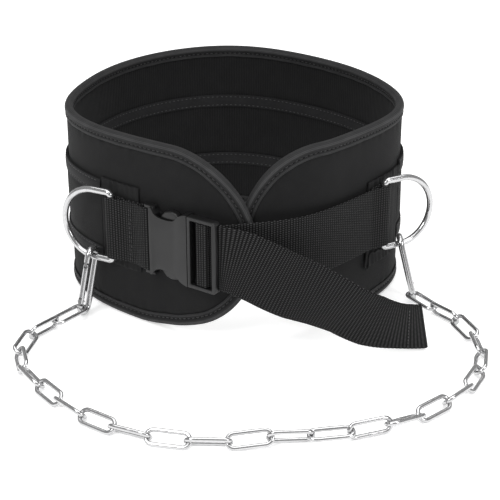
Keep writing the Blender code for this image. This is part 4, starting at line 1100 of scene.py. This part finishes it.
def make_plug():
    """Arms and tongue inside the socket, and the ladder: a frame less its slots, its end slightly bowed."""
    arm_low = BUCKLE_WALL + 0.0004
    arms = slab("buckle_plug_arms", both_halves(ARM_ROWS) * (SOCKET_LENGTH, HALF_HEIGHT), arm_low,
                BUCKLE_THICK - arm_low, 1)
    half, bow = HALF_HEIGHT - SKIN_GAP, np.linspace(1, 0, 14)
    edge = columns(LADDER_END - LADDER_BOW * bow ** 2, (half - LADDER_CORNER) * bow)
    corner = arc((LADDER_END - 0.0028, half - LADDER_CORNER), LADDER_CORNER, 90, 0, 8)
    upper = np.concatenate([[(LADDER_START, half)], corner, edge[1:-1]])
    ladder = slab("plug_ladder", both_halves(upper), 0.0, RAIL_DEPTH, 1)
    before, below, past = -CUT_PAST, BUCKLE_THICK, LADDER_END + CUT_PAST
    arch = ((FIRST_SLOT, before), (FIRST_SLOT, below), (CENTRE_BAR, below), (CENTRE_BAR, CENTRE_BAR_DEPTH),
            (SECOND_SLOT, CENTRE_BAR_DEPTH), (SECOND_SLOT, below), (past, below), (past, END_BAR_THICK),
            (END_BAR, END_BAR_THICK), (END_BAR, before))
    under = rectangle(CENTRE_BAR - CUT_PAST, SECOND_SLOT + CUT_PAST, CENTRE_BAR_DEPTH + 0.0026, below)
    tools = [(slab(name, outline, -SLOT_HALF, SLOT_HALF, 2), "DIFFERENCE")
             for name, outline in (("slots", arch), ("relief", under))]
    ladder = combined(ladder, tools, 0.0007, PLASTIC_SHARP)
    arms = combined(arms, [], 0.0008, PLASTIC_SHARP)
    fit(ladder, "buckle_plastic", "buckle_plug")
    fit(arms, "buckle_plastic", "buckle_plug")


make_socket()
make_plug()


# Stitching. Black bonded thread in rows: round the edge tape on both faces, along the sleeve strips and the
# inner channels, and up and down through the straps where they are sewn to the patches.

THREAD_RADIUS = 0.00030
STITCH_PITCH = 0.0042
STRAP_PITCH = 0.0036
STITCH_SINK = 0.00020
TAPE_STITCH_IN = 0.0063
STRAP_STITCH_TURNS = (222.0, 222.9, 228.4, 229.3, -30.2, -29.5)


def thread_finish():
    """Twisted thread, a little shinier than the cloth."""
    finish = Finish("sewing_thread", 0.45, Sheen_Weight=0.1)
    twist = finish.noise(0.0006, 1.0)
    finish.paint((0.012, 0.012, 0.0125), (0.036, 0.036, 0.037), twist)
    finish.relief(twist, 0.00005)
    return finish


THREAD = thread_finish()


def stitches(path, outward, pitch=STITCH_PITCH):
    """Grids of one row: at each pitch along the path a thread that rises out of the cloth and dives back, as
    five rings of five points with radii that close at both ends."""
    length = lengths(path)
    where = np.arange(pitch / 2, length[-1] - pitch / 2, pitch)
    place = sample(path, length, where)
    ahead = unit(sample(path, length, where + 0.0006) - place)
    out = unit(sample(outward, length, where))
    side = np.cross(ahead, out)
    share = np.linspace(-1, 1, 5)
    radius = THREAD_RADIUS * np.array([0.0, 0.85, 1.0, 0.85, 0.0])
    rise = THREAD_RADIUS * np.array([-0.9, 0.35, 0.6, 0.35, -0.9])
    angle = np.linspace(0, 2 * np.pi, 6)[:, None, None]
    ring = np.cos(angle) * side + np.sin(angle) * out
    middle = place[None] + share[:, None, None] * pitch * 0.40 * ahead + rise[:, None, None] * out
    return list((middle[:, None] + radius[:, None, None, None] * ring[None]).transpose(2, 0, 1, 3))


def belt_normal(run, height):
    """Outward direction of the belt's face."""
    return unit(on_belt(run, 0.01, height) - on_belt(run, 0.0, height))


def make_stitching():
    """Each group of rows is one piece."""
    loop = belt_loop(0.0015)[0]
    run, height = (loop + inward_of(loop) * TAPE_STITCH_IN).T
    half = (PANEL_THICK / 2 + TAPE_OUT) * 0.76
    grids = []
    for side in (1, -1):
        path = on_belt(run, side * half - PANEL_THICK / 2 - lap_dip(run), height)
        grids += stitches(path, side * belt_normal(run, height))
    fit(make_piece("tape_stitching", grids, THREAD), "edge_tape")
    run = np.linspace(run_at(SLEEVE_TURNS[0]) + 0.002, run_at(SLEEVE_TURNS[1]) - 0.002, 900)
    face = 2 * SKIN_GAP + SLEEVE_THICK + STRIP_THICK - STITCH_SINK
    back = -PANEL_THICK - SKIN_GAP - STRIP_THICK + STITCH_SINK
    grids = []
    for low in (SLEEVE_HALF - STRIP_WIDTH, -SLEEVE_HALF):
        for up in (low + STRIP_STITCH_IN, low + STRIP_WIDTH - STRIP_STITCH_IN):
            for side, out in ((1, face), (-1, back)):
                grids += stitches(on_belt(run, out, MIDDLE + up), side * belt_normal(run, MIDDLE + up))
    fit(make_piece("sleeve_stitching", grids, THREAD), "edge_tape")
    up = np.linspace(-0.0232, 0.0232, 60)
    grids = []
    for turn in STRAP_STITCH_TURNS:
        run = np.full(len(up), run_at(turn))
        out = OUTER_PLY + WEB_THICK / 2 + (0.0029 if 0 < turn < 223 else 0.0)
        grids += stitches(on_belt(run, out, MIDDLE + up), belt_normal(run, MIDDLE + up), STRAP_PITCH)
    middle, across, normal = HEM_ROW
    row = middle + up[:, None] * across
    grids += stitches(row, np.broadcast_to(normal, row.shape), STRAP_PITCH)
    fit(make_piece("strap_stitching", grids, THREAD), "webbing")


make_stitching()


# Bound edge of the right patch. Narrow tape sewn along the patch's free border; at the lower front corner it
# isn't sewn down and stands up as a small loop.

BOUND_WIDE = 0.0009
BOUND_THICK = 0.0006
BOUND_EDGE = np.array((
    (0.0006, -0.0255, 0.0022), (0.0001, -0.0300, 0.0024), (-0.0012, -0.0345, 0.0028),
    (-0.0020, -0.0385, 0.0030), (-0.0006, -0.0418, 0.0030), (0.0016, -0.0425, 0.0028),
    (0.0034, -0.0395, 0.0028), (0.0036, -0.0350, 0.0026), (0.0046, -0.0312, 0.0027),
    (0.0078, -0.0300, 0.0031), (0.0105, -0.0318, 0.0026), (0.0140, -0.0306, 0.0030),
    (0.0185, -0.0322, 0.0025), (0.0240, -0.0312, 0.0027)))


def make_bound_edge():
    """An oval swept along a smooth curve through a table of (run, height, out) offsets from the patch's front
    edge and the belt's middle height, closed at both ends."""
    run, height, out = smooth_rows(BOUND_EDGE, 150).T
    run, height = run_at(RIGHT_PATCH[0]) + run, MIDDLE + height
    path = on_belt(run, out, height)
    outward = belt_normal(run, height)
    side = unit(np.cross(unit(np.gradient(path, axis=0)), outward))
    angle = np.linspace(0, 2 * np.pi, 13)[None, :, None]
    size = np.sin(np.linspace(0, np.pi, len(path)))[:, None, None] ** 0.15
    ring = BOUND_WIDE * np.cos(angle) * side[:, None] + BOUND_THICK * np.sin(angle) * outward[:, None]
    uv = columns(np.linspace(0, 0.05, len(path))[:, None], BOUND_WIDE * angle[..., 0])
    fit(make_piece("patch_bound_edge", [path[:, None] + size * ring], SLEEVE_FINISH, [uv]), "sleeve_cloth")


make_bound_edge()


# Studio. The camera stands at the photograph's angle over white paper that runs out of sight, under three
# soft lights and an even white surround.

FLOOR_REACH = 12.0
WHITE = (1.0, 1.0, 1.0, 1.0)


def make_studio():
    """Camera, floor, three area lights and the surround."""
    scene = bpy.context.scene
    camera = bpy.data.cameras.new("camera")
    camera.lens, camera.sensor_width = 94.9, 36.0
    scene.camera = add_object("camera", camera)
    scene.camera.location = (0.0123 + BELT_MIDDLE[0], -1.010 + BELT_MIDDLE[1], 0.460)
    scene.camera.rotation_euler = (np.radians(66.55), 0.0, 0.0)
    paper = Finish("floor_paper", 0.9, Base_Color=(0.90, 0.90, 0.90, 1.0), Emission_Color=WHITE,
                   Emission_Strength=0.42)
    mesh = bpy.data.meshes.new("floor")
    corners = [(x * FLOOR_REACH, y * FLOOR_REACH, 0) for x, y in rectangle(-1, 1, -1, 1)]
    mesh.from_pydata(corners, [], [(0, 1, 2, 3)])
    add_object("floor", mesh, paper)
    for name, place, size, power, turn in (
            ("key_light", (-0.9, -1.2, 1.3), 0.7, 13.5, (48, 0, -36)),
            ("top_light", (0.0, 0.1, 2.0), 2.4, 43.0, (0, 0, 0)),
            ("fill_light", (1.3, -1.0, 0.9), 0.6, 9.5, (62, 0, 52))):
        lamp = bpy.data.lights.new(name, "AREA")
        lamp.size, lamp.energy = size, power
        placed = add_object(name, lamp)
        placed.location, placed.rotation_euler = place, np.radians(turn)
    world = bpy.data.worlds.new("surround")
    world.use_nodes = True
    background = world.node_tree.nodes["Background"]
    background.inputs["Color"].default_value = WHITE
    background.inputs["Strength"].default_value = 0.34
    scene.world = world
    scene.view_settings.view_transform = "Standard"


make_studio()
